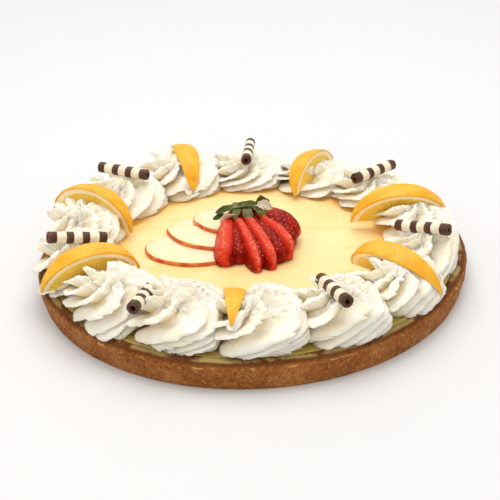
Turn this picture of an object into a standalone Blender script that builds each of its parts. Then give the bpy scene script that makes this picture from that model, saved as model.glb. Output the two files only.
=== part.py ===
"""Open-faced apple cream tart.

A round shortcrust shell holds a pale custard filling.  A ring of swirled
cream rosettes stands on the filling and on the rim.  Citrus wedges and
striped chocolate rolls are pressed into the cream, and three fanned apple
slices with a sliced strawberry lie in the middle.

Frame: metres, +Z up, origin at the centre of the underside, front at -Y.
Angles run counter-clockwise from +X, seen from above.
"""

import math
import random

import bmesh
import bpy
from mathutils import Matrix, Vector
from mathutils.bvhtree import BVHTree

MM = 0.001
SEED = 28

# Clearance between two pieces that touch, and the fuller one round toppings.
GAP = 0.3 * MM
CUT_GAP = 0.4 * MM

# Crust shell.
CRUST_STEPS = 56
CRUST_BASE_RADIUS = 137.2 * MM
CRUST_CREASE_RADIUS = 140.0 * MM
CRUST_CREASE_HEIGHT = 15.6 * MM
CRUST_RIM_RADIUS = 134.6 * MM
CRUST_RIM_HEIGHT = 19.0 * MM
CRUST_INNER_RADIUS = 132.6 * MM
CRUST_FLOOR = 5.0 * MM
CRUST_WOBBLE = 0.8 * MM

# Custard filling.
FILLING_STEPS = 48
FILLING_TOP = 19.0 * MM
FILLING_MENISCUS = 0.5 * MM

# Cream rosettes: angle, distance from the axis and height of each.
ROSETTE_RIDGES = 12
ROSETTE_SIDES = 2 * ROSETTE_RIDGES
ROSETTE_RINGS = 9
ROSETTE_BASE = 19.35 * MM
ROSETTE_RADIAL = 28.5 * MM
ROSETTE_TANGENTIAL = 31.0 * MM
ROSETTE_GROOVE = 0.17
ROSETTE_TWIST = math.radians(125.0)
ROSETTE_LEAN = 2.5 * MM
ROSETTE_PINCH = GAP * 0.55
BULGE_DROOP = 0.42
ROSETTE_SPREAD = 136.5 * MM
ROSETTE_YIELD = 0.4
ROSETTE_PLACES = (
    (222.0, 112.0, 25.5), (247.5, 109.0, 27.0), (272.5, 110.5, 26.5),
    (295.0, 111.5, 26.0), (317.0, 112.5, 25.5), (341.0, 114.0, 25.0),
    (8.0, 113.0, 19.5), (36.0, 109.0, 18.5), (63.0, 107.0, 17.0),
    (90.0, 108.0, 17.0), (117.0, 109.0, 22.5), (143.0, 111.0, 22.5),
    (169.0, 114.0, 23.5), (195.0, 115.0, 24.5),
)
# Outline of a rosette: share of its radius against share of its height.
ROSETTE_OUTLINE = (
    (0.91, 0.00), (1.00, 0.12), (0.99, 0.30), (0.92, 0.50),
    (0.80, 0.68), (0.62, 0.83), (0.40, 0.93), (0.18, 0.98),
)

# Citrus wedges: middle of the core edge, yaw, pitch, lean, angle, size.
WEDGE_HALF_LENGTH = 33.0 * MM
WEDGE_HEIGHT = 28.0 * MM
WEDGE_CORE = 2.5 * MM
WEDGE_PEEL_STRIPS = 4
WEDGE_PRESS = 1.35
WEDGE_RINGS = 14
WEDGE_PLACES = (
    (-47.9, 103.4, 20.9, 104.1, 1.8, -6.9, 36.9, 0.93),
    (48.7, 88.0, 20.8, 56.5, 0.6, 17.7, 35.3, 0.87),
    (99.8, 21.5, 21.5, 3.4, 0.0, -11.6, 29.0, 1.0),
    (88.3, -59.1, 21.6, 318.5, 0.0, -18.0, 29.0, 1.0),
    (-13.5, -106.1, 20.0, 270.7, 31.8, 7.5, 30.7, 0.91),
    (-100.0, -51.3, 23.0, 207.7, 5.0, 6.2, 29.0, 1.0),
    (-107.9, 33.5, 22.4, 148.8, 2.0, -10.4, 29.0, 1.0),
)

# Chocolate rolls: middle, yaw and pitch of the outer end.
ROLL_STEPS = 14
ROLL_RADIUS = 3.8 * MM
ROLL_BORE = 1.7 * MM
ROLL_LENGTH = 38.0 * MM
ROLL_PLACES = (
    (-108.4, -31.5, 46.9, 200.9, 13.0),
    (-87.3, 69.9, 45.5, 156.5, 1.7),
    (0.5, 107.8, 40.0, 84.1, -3.0),
    (87.4, 62.1, 40.6, 38.7, -1.2),
    (106.7, -37.5, 47.0, 320.6, 11.4),
    (45.7, -109.3, 47.0, 289.7, 7.1),
    (-63.1, -105.6, 45.0, 257.2, 11.4),
)

# Apple slices: middle, half sizes and yaw; the next lies on the last.
APPLE_SIDES = 28
APPLE_THICKNESS = 2.6 * MM
APPLE_PLACES = (
    (-37.0, -4.0, 33.0, 21.5, -6.0),
    (-25.5, 14.0, 33.0, 23.0, -28.0),
    (-8.0, 30.0, 31.0, 26.0, -15.0),
)

# Strawberry, cut into slices that stay joined at the hull.
BERRY_HULL = (-3.0, 15.5, 29.0)
BERRY_HULL_SIZE = (11.5, 9.5, 9.8)
# Each slice: hull end, tip, half thickness, half height.
BERRY_SLICES = (
    ((-15.5, 14.0, 30.0), (-18.5, -28.5, 23.5), 7.2, 8.4),
    ((-9.0, 15.0, 31.0), (1.5, -40.5, 23.0), 5.6, 9.0),
    ((-4.0, 16.0, 31.0), (13.0, -38.5, 23.0), 5.8, 9.2),
    ((1.0, 16.0, 31.0), (25.0, -27.0, 23.5), 6.6, 9.4),
    ((0.0, 21.0, 31.0), (31.5, 0.5, 25.0), 10.5, 10.8),
)

# Calyx: reach, half width, heading and lift at the tip of each leaf.
CALYX_MIDDLE = (-2.3, 15.5)
CALYX_LIFT = 0.7 * MM
LEAF_ROOT = 2.2 * MM
LEAF_ROOT_HALF = 0.8 * MM
LEAF_THICKNESS = 0.8 * MM
LEAF_STEPS = 5
LEAF_SPAN = 2.2 * MM
LEAVES = (
    (22.0, 3.6, 196.0, 0.0), (15.0, 3.0, 236.0, 0.0),
    (16.0, 3.3, 268.0, 0.0), (15.0, 3.5, 302.0, 0.0),
    (15.0, 3.6, 338.0, 1.0), (14.0, 2.6, 30.0, 7.0),
    (12.0, 3.0, 90.0, 0.0), (13.0, 3.0, 145.0, 0.0),
)


def clear_scene():
    """Remove every object that the start-up file holds."""
    for obj in list(bpy.data.objects):
        bpy.data.objects.remove(obj, do_unlink=True)


def make_collection(name):
    """Return a new collection linked to the scene."""
    group = bpy.data.collections.new(name)
    bpy.context.scene.collection.children.link(group)
    return group


def make_material(name, colour, roughness, metallic=0.0):
    """Return a Principled material with the given look."""
    material = bpy.data.materials.new(name)
    material.use_nodes = True
    shader = material.node_tree.nodes["Principled BSDF"]
    shader.inputs["Base Color"].default_value = (*colour, 1.0)
    shader.inputs["Roughness"].default_value = roughness
    shader.inputs["Metallic"].default_value = metallic
    return material


def crust_material():
    return make_material("baked_crust", (0.24, 0.09, 0.03), 0.75)


def filling_material():
    return make_material("custard", (0.96, 0.74, 0.38), 0.35)


def cream_material():
    return make_material("whipped_cream", (0.93, 0.86, 0.70), 0.55)


def citrus_material():
    return make_material("citrus", (0.95, 0.52, 0.05), 0.4)


def roll_material():
    return make_material("chocolate", (0.08, 0.03, 0.015), 0.4)


def apple_material():
    return make_material("apple", (0.95, 0.82, 0.58), 0.35)


def berry_material():
    return make_material("strawberry", (0.62, 0.02, 0.01), 0.3)


def leaf_material():
    return make_material("calyx_leaf", (0.09, 0.13, 0.03), 0.6)


def new_object(name, mesh, group, material=None):
    """Link a mesh as a named object of a collection."""
    mesh.name = name
    obj = bpy.data.objects.new(name, mesh)
    group.objects.link(obj)
    if material is not None:
        mesh.materials.clear()
        mesh.materials.append(material)
    return obj


def mesh_from(bm, name):
    """Turn a bmesh into mesh data with its faces pointing out."""
    bmesh.ops.recalc_face_normals(bm, faces=bm.faces)
    mesh = bpy.data.meshes.new(name)
    bm.to_mesh(mesh)
    bm.free()
    return mesh


def hide_cutter(obj):
    """Show a cutter as a wire and keep it out of the model."""
    obj.hide_render = True
    obj.display_type = "WIRE"


def freeze(obj):
    """Apply all of an object's modifiers to its mesh."""
    bpy.context.view_layer.update()
    graph = bpy.context.evaluated_depsgraph_get()
    mesh = bpy.data.meshes.new_from_object(obj.evaluated_get(graph))
    obj.modifiers.clear()
    mesh.name = obj.name
    obj.data = mesh


def combine(obj, other, operation):
    """Add one exact Boolean modifier to an object."""
    modifier = obj.modifiers.new(operation.lower(), "BOOLEAN")
    modifier.operation = operation
    modifier.solver = "EXACT"
    modifier.object = other


def island_of(face):
    """Return all faces joined to one face."""
    found = {face}
    open_faces = [face]
    while open_faces:
        current = open_faces.pop()
        for edge in current.edges:
            for linked in edge.link_faces:
                if linked not in found:
                    found.add(linked)
                    open_faces.append(linked)
    return found


def keep_main_body(obj):
    """Drop the crumbs that a cut leaves beside the main body."""
    bm = bmesh.new()
    bm.from_mesh(obj.data)
    bmesh.ops.remove_doubles(bm, verts=bm.verts, dist=0.002 * MM)
    bmesh.ops.dissolve_degenerate(bm, dist=0.002 * MM, edges=bm.edges)
    left = set(bm.faces)
    islands = []
    while left:
        island = island_of(next(iter(left)))
        islands.append(island)
        left -= island
    islands.sort(key=len)
    crumbs = [face for island in islands[:-1] for face in island]
    bmesh.ops.delete(bm, geom=crumbs, context="FACES")
    bm.to_mesh(obj.data)
    bm.free()


def shade(obj, angle=40.0):
    """Shade smooth with sharp edges above the given angle."""
    obj.data.shade_smooth()
    obj.data.set_sharp_from_angle(angle=math.radians(angle))


def turned(name, profile, steps, group):
    """Turn a profile of (radius, height) points about the Z axis."""
    mesh = bpy.data.meshes.new(name)
    points = [(radius, 0.0, height) for radius, height in profile]
    edges = [(i, i + 1) for i in range(len(points) - 1)]
    mesh.from_pydata(points, edges, [])
    obj = new_object(name, mesh, group)
    screw = obj.modifiers.new("turn", "SCREW")
    screw.axis = "Z"
    screw.angle = 2.0 * math.pi
    screw.steps = steps
    screw.render_steps = steps
    screw.use_merge_vertices = True
    screw.merge_threshold = 0.00005
    return obj


def rim_wobble(angle):
    """Hand-pressed unevenness of the crust, from -1 to 1."""
    slow = math.sin(3.0 * angle + 0.6) * 0.45
    middle = math.sin(7.0 * angle + 2.1) * 0.35
    return slow + middle + math.sin(12.0 * angle + 4.0) * 0.2


def make_crust(group):
    """Shell with a flat floor, flared wall and rounded rim."""
    rim = CRUST_RIM_RADIUS
    crease = CRUST_CREASE_RADIUS
    profile = (
        (0.0, CRUST_FLOOR),
        (CRUST_INNER_RADIUS - 3.0 * MM, CRUST_FLOOR),
        (CRUST_INNER_RADIUS, CRUST_FLOOR + 3.0 * MM),
        (CRUST_INNER_RADIUS, CRUST_RIM_HEIGHT - 0.8 * MM),
        (CRUST_INNER_RADIUS + 0.7 * MM, CRUST_RIM_HEIGHT),
        (rim, CRUST_RIM_HEIGHT),
        (rim + 2.4 * MM, CRUST_RIM_HEIGHT - 0.9 * MM),
        (crease - 1.2 * MM, CRUST_CREASE_HEIGHT + 0.9 * MM),
        (crease, CRUST_CREASE_HEIGHT - 0.6 * MM),
        (crease - 0.5 * MM, CRUST_CREASE_HEIGHT - 5.5 * MM),
        (CRUST_BASE_RADIUS, 1.0 * MM),
        (CRUST_BASE_RADIUS - 1.2 * MM, 0.0),
        (0.0, 0.0),
    )
    crust = turned("crust", profile, CRUST_STEPS, group)
    freeze(crust)
    for vertex in crust.data.vertices:
        radius = math.hypot(vertex.co.x, vertex.co.y)
        if radius < CRUST_INNER_RADIUS + 0.1 * MM:
            continue
        wave = rim_wobble(math.atan2(vertex.co.y, vertex.co.x))
        grow = 1.0 + wave * CRUST_WOBBLE * 0.6 / radius
        if radius > rim - 0.5 * MM:
            vertex.co.x *= grow
            vertex.co.y *= grow
        if 2.0 * MM < vertex.co.z < CRUST_RIM_HEIGHT - 0.3 * MM:
            vertex.co.z += wave * CRUST_WOBBLE * 0.3
    crust.data.materials.append(crust_material())
    shade(crust, 35.0)
    return crust


def make_filling(group):
    """Custard that fills the shell up to its rim."""
    wall = CRUST_INNER_RADIUS - GAP
    floor = CRUST_FLOOR + GAP
    rise = FILLING_TOP - FILLING_MENISCUS
    profile = (
        (0.0, FILLING_TOP),
        (70.0 * MM, FILLING_TOP),
        (95.0 * MM, FILLING_TOP - 0.15 * MM),
        (wall - 5.0 * MM, rise),
        (wall, rise + 0.2 * MM),
        (wall, floor + 3.2 * MM),
        (wall - 3.2 * MM, floor),
        (0.0, floor),
    )
    filling = turned("filling", profile, FILLING_STEPS, group)
    freeze(filling)
    # The facets of the filling stay inside the facets of the shell.
    facet = math.cos(math.pi / CRUST_STEPS) - 0.0002
    filling.data.transform(Matrix.Diagonal((facet, facet, 1.0, 1.0)))
    filling.data.materials.append(filling_material())
    shade(filling, 35.0)
    return filling


def drop_outside(radius, ring):
    """How far the cream's bulge hangs down past the top of the rim."""
    if ring < 2:
        return 0.0
    return max(0.0, radius - CRUST_RIM_RADIUS) * BULGE_DROOP


def hold_back(point):
    """Let the cream yield where it would spread out past the rim."""
    radius = point.length
    if radius <= ROSETTE_SPREAD:
        return point
    kept = ROSETTE_SPREAD + (radius - ROSETTE_SPREAD) * ROSETTE_YIELD
    return point * (kept / radius)


def split_angle(first, second):
    """Angle halfway from one rosette to the next, in radians."""
    turn = (second - first) % 360.0
    return math.radians(first + turn / 2.0)


def squeeze(point, middle, angle, side):
    """Pull a point back to its own side of a radial dividing plane."""
    normal = Vector((-math.sin(angle), math.cos(angle))) * side
    reach = normal.dot(point)
    if reach <= -ROSETTE_PINCH:
        return point
    start = normal.dot(middle)
    share = (-ROSETTE_PINCH - start) / (reach - start)
    return middle + (point - middle) * share


def rosette_ring(height_share):
    """Index of a sphere's ring from its height between the poles."""
    angle = math.acos(max(-1.0, min(1.0, -height_share)))
    return round(angle / math.pi * ROSETTE_RINGS)


def shape_rosette(vertex, place, splits, dice):
    """Move one vertex of a sphere onto the swirled rosette."""
    angle, distance, height = place
    phase, lean, wave = dice
    ring = rosette_ring(vertex.co.z)
    around = math.atan2(vertex.co.y, vertex.co.x)
    side = round(around / (2.0 * math.pi) * ROSETTE_SIDES)
    middle = Vector((math.cos(angle), math.sin(angle))) * distance
    if ring == 0:
        vertex.co = (*middle, ROSETTE_BASE)
        return
    if ring == ROSETTE_RINGS:
        aside = Vector((math.cos(lean), math.sin(lean))) * ROSETTE_LEAN
        vertex.co = (*(middle + aside), ROSETTE_BASE + height * MM)
        return
    reach, rise = ROSETTE_OUTLINE[ring - 1]
    crest = 1.0 - ROSETTE_GROOVE * (side % 2)
    crest *= 1.0 + 0.05 * math.sin(2.0 * around + wave)
    turn = around + phase + ROSETTE_TWIST * (1.0 - reach)
    radial = math.cos(turn) * ROSETTE_RADIAL * reach * crest
    across = math.sin(turn) * ROSETTE_TANGENTIAL * reach * crest
    outward = Vector((math.cos(angle), math.sin(angle)))
    sideways = Vector((-math.sin(angle), math.cos(angle)))
    point = middle + outward * radial + sideways * across
    aside = Vector((math.cos(lean), math.sin(lean))) * ROSETTE_LEAN
    point += aside * rise ** 2
    point = squeeze(point, middle, splits[0], -1.0)
    point = squeeze(point, middle, splits[1], 1.0)
    point = hold_back(point)
    base = ROSETTE_BASE - drop_outside(point.length, ring) * (1.0 - rise)
    vertex.co = (*point, base + height * MM * rise)


def make_rosette(index, group, material):
    """One piped rosette, squeezed between its two neighbours."""
    count = len(ROSETTE_PLACES)
    angle, distance, height = ROSETTE_PLACES[index]
    before = ROSETTE_PLACES[(index - 1) % count][0]
    after = ROSETTE_PLACES[(index + 1) % count][0]
    splits = (split_angle(before, angle), split_angle(angle, after))
    place = (math.radians(angle), distance * MM, height)
    dice_box = random.Random(SEED + index)
    phase = dice_box.uniform(-0.25, 0.25)
    lean = dice_box.uniform(0.0, 2.0 * math.pi)
    dice = (phase, lean, dice_box.uniform(0.0, 2.0 * math.pi))
    bm = bmesh.new()
    bmesh.ops.create_uvsphere(
        bm, u_segments=ROSETTE_SIDES, v_segments=ROSETTE_RINGS, radius=1.0)
    for vertex in bm.verts:
        shape_rosette(vertex, place, splits, dice)
    name = f"cream_rosette_{index + 1:02d}"
    return new_object(name, mesh_from(bm, name), group, material)


def wedge_mesh(name, place, grow):
    """Slice of an ellipsoid between two planes through its long axis."""
    angle = math.radians(place[6])
    half = angle / 2.0
    strips = round(2.0 * math.pi / (angle / WEDGE_PEEL_STRIPS))
    bm = bmesh.new()
    bmesh.ops.create_uvsphere(
        bm, u_segments=strips, v_segments=WEDGE_RINGS, radius=1.0)
    lay = Matrix.Rotation(math.pi / 2.0, 4, "Y")
    length = WEDGE_HALF_LENGTH * place[7] + grow
    height = WEDGE_HEIGHT * place[7] + grow
    if grow > 0.0:
        # The cream is pressed away above the peel too.
        height *= WEDGE_PRESS
    size = Matrix.Diagonal((length, height, height, 1.0))
    bmesh.ops.transform(bm, matrix=size @ lay, verts=bm.verts)
    for side in (-1.0, 1.0):
        normal = Vector((0.0, math.cos(half) * side, -math.sin(half)))
        cut_below(bm, normal * grow, normal)
    # The core edge is trimmed to a narrow flat, and the custard hides
    # what is pressed below its surface.
    down = Vector((0.0, 0.0, -1.0))
    into = wedge_matrix(place).inverted()
    level = into @ Vector((0.0, 0.0, FILLING_TOP + GAP - 2.0 * grow))
    sunk = into.to_3x3() @ down
    cut_below(bm, (0.0, 0.0, WEDGE_CORE - grow), down)
    cut_below(bm, level, sunk)
    bmesh.ops.triangulate(bm, faces=bm.faces)
    return mesh_from(bm, name)


def cut_below(bm, point, normal):
    """Cut off and close what lies beyond a plane."""
    geometry = bm.verts[:] + bm.edges[:] + bm.faces[:]
    cut = bmesh.ops.bisect_plane(
        bm, geom=geometry, plane_co=point, plane_no=normal,
        clear_outer=True, dist=0.001 * MM)
    rims = [e for e in cut["geom_cut"] if isinstance(e, bmesh.types.BMEdge)]
    if rims:
        bmesh.ops.edgeloop_fill(bm, edges=rims)


def wedge_matrix(place):
    """World matrix of a wedge from its place."""
    x, y, z, yaw, pitch, lean, _, _ = place
    turn = Matrix.Rotation(math.radians(yaw), 4, "Z")
    tilt = Matrix.Rotation(-math.radians(pitch), 4, "Y")
    roll = Matrix.Rotation(-math.radians(lean), 4, "X")
    return Matrix.Translation(Vector((x, y, z)) * MM) @ turn @ tilt @ roll


def make_wedge(index, group, material):
    """One citrus wedge, peel up, lying out from the middle."""
    name = f"citrus_wedge_{index + 1}"
    place = WEDGE_PLACES[index]
    mesh = wedge_mesh(name, place, 0.0)
    wedge = new_object(name, mesh, group, material)
    wedge.matrix_world = wedge_matrix(place)
    shade(wedge)
    return wedge


def make_wedge_cutter(index, group):
    """Clearance shape of one citrus wedge."""
    name = f"cut_wedge_{index + 1}"
    place = WEDGE_PLACES[index]
    cutter = new_object(name, wedge_mesh(name, place, CUT_GAP), group)
    cutter.matrix_world = wedge_matrix(place)
    hide_cutter(cutter)
    return cutter


def roll_matrix(place):
    """World matrix of a roll whose own Z axis is its length."""
    x, y, z, yaw, pitch = place
    turn = Matrix.Rotation(math.radians(yaw), 4, "Z")
    lay = Matrix.Rotation(math.radians(90.0 - pitch), 4, "Y")
    return Matrix.Translation(Vector((x, y, z)) * MM) @ turn @ lay


def make_roll(index, group, material):
    """One hollow chocolate roll."""
    half = ROLL_LENGTH / 2.0
    profile = (
        (ROLL_BORE, half),
        (ROLL_RADIUS, half),
        (ROLL_RADIUS, -half),
        (ROLL_BORE, -half),
        (ROLL_BORE, half),
    )
    name = f"chocolate_roll_{index + 1}"
    roll = turned(name, profile, ROLL_STEPS, group)
    freeze(roll)
    bm = bmesh.new()
    bm.from_mesh(roll.data)
    bmesh.ops.remove_doubles(bm, verts=bm.verts, dist=0.01 * MM)
    bmesh.ops.recalc_face_normals(bm, faces=bm.faces)
    bm.to_mesh(roll.data)
    bm.free()
    roll.data.materials.append(material)
    roll.matrix_world = roll_matrix(ROLL_PLACES[index])
    shade(roll)
    return roll


def make_roll_cutter(index, group):
    """Clearance cylinder of one chocolate roll."""
    bm = bmesh.new()
    radius = ROLL_RADIUS + CUT_GAP
    bmesh.ops.create_cone(
        bm, cap_ends=True, segments=ROLL_STEPS, radius1=radius,
        radius2=radius, depth=ROLL_LENGTH + 2.0 * CUT_GAP)
    name = f"cut_roll_{index + 1}"
    cutter = new_object(name, mesh_from(bm, name), group)
    cutter.matrix_world = roll_matrix(ROLL_PLACES[index])
    hide_cutter(cutter)
    return cutter


def near(obj, other):
    """Tell whether two objects' bounding boxes meet."""
    boxes = []
    for item in (obj, other):
        corners = [item.matrix_world @ Vector(c) for c in item.bound_box]
        low = [min(c[k] for c in corners) for k in range(3)]
        high = [max(c[k] for c in corners) for k in range(3)]
        boxes.append((low, high))
    (low_a, high_a), (low_b, high_b) = boxes
    return all(low_a[k] < high_b[k] and low_b[k] < high_a[k]
               for k in range(3))


def cut_rosettes(rosettes, cutters):
    """Sink the toppings into the cream with a clearance."""
    bpy.context.view_layer.update()
    for rosette in rosettes:
        for cutter in cutters:
            if near(rosette, cutter):
                combine(rosette, cutter, "DIFFERENCE")
        freeze(rosette)
        keep_main_body(rosette)
        shade(rosette, 50.0)


def oval_share(x, y, place):
    """Distance from an oval's middle in shares of its half sizes."""
    middle_x, middle_y, long_half, short_half, yaw = place
    angle = math.radians(yaw)
    dx = x / MM - middle_x
    dy = y / MM - middle_y
    along = dx * math.cos(angle) + dy * math.sin(angle)
    across = dy * math.cos(angle) - dx * math.sin(angle)
    return math.hypot(along / long_half, across / short_half)


def ramp(value, zero_at, one_at):
    """Smooth step from 0 to 1 between two values."""
    share = (value - zero_at) / (one_at - zero_at)
    share = max(0.0, min(1.0, share))
    return share * share * (3.0 - 2.0 * share)


def apple_rest(x, y, index):
    """Height of what lies under an apple slice at a point."""
    height = FILLING_TOP + GAP
    for place in APPLE_PLACES[:index]:
        share = oval_share(x, y, place)
        height += (APPLE_THICKNESS + GAP) * ramp(share, 1.55, 1.08)
    return height


def apple_mesh(name, index, grow):
    """Thin oval slice that bends over the slices under it."""
    x, y, long_half, short_half, yaw = APPLE_PLACES[index]
    size = Matrix.Diagonal((long_half * MM + grow, short_half * MM + grow,
                            APPLE_THICKNESS, 1.0))
    turn = Matrix.Rotation(math.radians(yaw), 4, "Z")
    shift = Matrix.Translation(Vector((x, y, 0.0)) * MM)
    slant = 0.965 if grow == 0.0 else 1.0
    bm = bmesh.new()
    bmesh.ops.create_cone(
        bm, cap_ends=True, segments=APPLE_SIDES, radius1=1.0, radius2=slant,
        depth=1.0)
    caps = [f for f in bm.faces if len(f.verts) > 4]
    for _ in range(2):
        bmesh.ops.inset_region(bm, faces=caps, thickness=0.3)
    bmesh.ops.poke(bm, faces=caps)
    bmesh.ops.transform(bm, matrix=shift @ turn @ size, verts=bm.verts)
    for vertex in bm.verts:
        rest = apple_rest(vertex.co.x, vertex.co.y, index)
        half = APPLE_THICKNESS / 2.0
        vertex.co.z += rest + half
        if grow > 0.0:
            top = vertex.co.z > rest + half
            vertex.co.z += grow if top else -3.5 * MM
    bmesh.ops.triangulate(bm, faces=bm.faces)
    return mesh_from(bm, name)


def make_apple(index, group, material, cutters):
    """One apple slice, relieved where it lies on the one below."""
    name = f"apple_slice_{index + 1}"
    apple = new_object(name, apple_mesh(name, index, 0.0), group, material)
    for cutter in cutters[:index]:
        combine(apple, cutter, "DIFFERENCE")
    freeze(apple)
    keep_main_body(apple)
    shade(apple)
    return apple


def make_apple_cutter(index, group):
    """Clearance shape of one apple slice, open to below."""
    name = f"cut_apple_{index + 1}"
    mesh = apple_mesh(name, index, GAP)
    cutter = new_object(name, mesh, group)
    hide_cutter(cutter)
    return cutter


def ellipsoid(name, matrix, group, sides=14, rings=9):
    """Sphere stretched by a matrix, as an object."""
    bm = bmesh.new()
    bmesh.ops.create_uvsphere(
        bm, u_segments=sides, v_segments=rings, radius=1.0)
    bmesh.ops.transform(bm, matrix=matrix, verts=bm.verts)
    return new_object(name, mesh_from(bm, name), group)


def slice_matrix(start, tip, half_width, half_height):
    """Matrix that lays a unit sphere along one berry slice."""
    first = Vector(start) * MM
    last = Vector(tip) * MM
    along = (last - first).normalized()
    side = along.cross(Vector((0.0, 0.0, 1.0))).normalized()
    up = side.cross(along)
    half = (last - first).length / 2.0
    axes = Matrix((side * half_width * MM, up * half_height * MM,
                   along * half)).transposed().to_4x4()
    return Matrix.Translation((first + last) / 2.0) @ axes


def make_berry(group, cutter_group, material, apple_cutters):
    """Strawberry slices fanned out from one hull."""
    size = Matrix.Diagonal((*(Vector(BERRY_HULL_SIZE) * MM), 1.0))
    hull = Matrix.Translation(Vector(BERRY_HULL) * MM) @ size
    berry = ellipsoid("strawberry_fan", hull, group)
    berry.data.materials.append(material)
    for number, (start, tip, width, height) in enumerate(BERRY_SLICES):
        matrix = slice_matrix(start, tip, width, height)
        name = f"join_slice_{number + 1}"
        lobe = ellipsoid(name, matrix, cutter_group)
        hide_cutter(lobe)
        combine(berry, lobe, "UNION")
    bm = bmesh.new()
    bmesh.ops.create_cube(bm, size=1.0)
    span = 100.0 * MM
    scale = Matrix.Diagonal((span, span, 20.0 * MM, 1.0))
    top = Matrix.Translation((0.0, 0.0, FILLING_TOP + GAP - 10.0 * MM))
    bmesh.ops.transform(bm, matrix=top @ scale, verts=bm.verts)
    ground = new_object("cut_ground", mesh_from(bm, "cut_ground"),
                        cutter_group)
    hide_cutter(ground)
    for cutter in (*apple_cutters, ground):
        combine(berry, cutter, "DIFFERENCE")
    freeze(berry)
    keep_main_body(berry)
    shade(berry, 50.0)
    return berry


def leaf_row(middle, leaf, step):
    """Plan points across a leaf at one step along it."""
    reach, half_width, heading, _ = leaf
    share = (step + 1) / LEAF_STEPS
    angle = math.radians(heading)
    along = Vector((math.cos(angle), math.sin(angle)))
    across = Vector((-along.y, along.x))
    width = half_width * math.sin(math.pi * (0.25 + 0.68 * share)) * MM
    centre = middle + along * (LEAF_ROOT + (reach * MM - LEAF_ROOT) * share)
    return [centre + across * width * k for k in (-1.0, 0.0, 1.0)]


def make_calyx(group, berry, material):
    """Star of leaves draped over the hull of the strawberry."""
    tree = BVHTree.FromPolygons(
        [v.co.copy() for v in berry.data.vertices],
        [tuple(p.vertices) for p in berry.data.polygons])
    middle = Vector(CALYX_MIDDLE) * MM
    floor = Vector(BERRY_HULL).z * MM

    def drape(point, lift):
        height = floor
        for turn in range(9):
            reach = LEAF_SPAN if turn else 0.0
            x = point.x + reach * math.cos(turn * math.pi / 4.0)
            y = point.y + reach * math.sin(turn * math.pi / 4.0)
            start = Vector((x, y, 0.1))
            hit = tree.ray_cast(start, Vector((0.0, 0.0, -1.0)))[0]
            if hit:
                height = max(height, hit.z)
        return Vector((point.x, point.y, height + lift))

    bm = bmesh.new()
    order = sorted(LEAVES, key=lambda leaf: leaf[2])
    roots = []
    for leaf in order:
        angle = math.radians(leaf[2])
        along = Vector((math.cos(angle), math.sin(angle)))
        across = Vector((-along.y, along.x))
        root = middle + along * LEAF_ROOT
        pair = [root - across * LEAF_ROOT_HALF, root + across * LEAF_ROOT_HALF]
        verts = [bm.verts.new(drape(p, CALYX_LIFT)) for p in pair]
        roots.append(verts)
        last = verts
        for step in range(LEAF_STEPS):
            share = (step + 1) / LEAF_STEPS
            lift = CALYX_LIFT + leaf[3] * MM * share * share
            row = leaf_row(middle, leaf, step)
            if step == LEAF_STEPS - 1:
                row = row[1:2]
            new = [bm.verts.new(drape(p, lift)) for p in row]
            bridge_rows(bm, last, new)
            last = new
    ring = [vertex for pair in roots for vertex in pair]
    bm.faces.new(ring)
    for face in bm.faces:
        face.normal_update()
        if face.normal.z < 0.0:
            face.normal_flip()
    bmesh.ops.triangulate(bm, faces=bm.faces)
    mesh = bpy.data.meshes.new("strawberry_calyx")
    bm.to_mesh(mesh)
    bm.free()
    calyx = new_object("strawberry_calyx", mesh, group, material)
    solid = calyx.modifiers.new("thickness", "SOLIDIFY")
    solid.thickness = LEAF_THICKNESS
    solid.offset = 1.0
    freeze(calyx)
    shade(calyx)
    return calyx


def bridge_rows(bm, first, second):
    """Join two rows of leaf vertices with triangles and quads."""
    if len(first) == 2 and len(second) == 3:
        bm.faces.new((first[0], second[0], second[1]))
        bm.faces.new((first[0], second[1], first[1]))
        bm.faces.new((first[1], second[1], second[2]))
    elif len(second) == 3:
        bm.faces.new((first[0], second[0], second[1], first[1]))
        bm.faces.new((first[1], second[1], second[2], first[2]))
    else:
        bm.faces.new((first[0], second[0], first[1]))
        bm.faces.new((first[1], second[0], first[2]))


def build():
    """Build the whole tart."""
    clear_scene()
    tart = make_collection("apple_cream_tart")
    cutters = make_collection("cutters")
    make_crust(tart)
    make_filling(tart)
    cream = cream_material()
    count = len(ROSETTE_PLACES)
    rosettes = [make_rosette(i, tart, cream) for i in range(count)]
    citrus = citrus_material()
    chocolate = roll_material()
    sunk = []
    for i in range(len(WEDGE_PLACES)):
        make_wedge(i, tart, citrus)
        sunk.append(make_wedge_cutter(i, cutters))
    for i in range(len(ROLL_PLACES)):
        make_roll(i, tart, chocolate)
        sunk.append(make_roll_cutter(i, cutters))
    cut_rosettes(rosettes, sunk)
    fruit = apple_material()
    places = range(len(APPLE_PLACES))
    relief = [make_apple_cutter(i, cutters) for i in places]
    for i in places:
        make_apple(i, tart, fruit, relief)
    berry = make_berry(tart, cutters, berry_material(), relief)
    make_calyx(tart, berry, leaf_material())


build()
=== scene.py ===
"""Looks of an open-faced tart with citrus, cream rolls, apple and strawberry.

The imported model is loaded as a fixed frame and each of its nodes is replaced
by a finely modelled piece in the same place.  Lengths are in metres, +Z is
up, the origin is the middle of the underside and the front looks to -Y.
Angles run counter-clockwise from +X, seen from above.
"""

import logging
import math
import random
from dataclasses import dataclass, field
from enum import Enum
from functools import partial
from typing import Callable, Iterable, Optional, Sequence, Union

import bmesh
import bpy
from mathutils import Matrix, Vector, kdtree, noise


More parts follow.
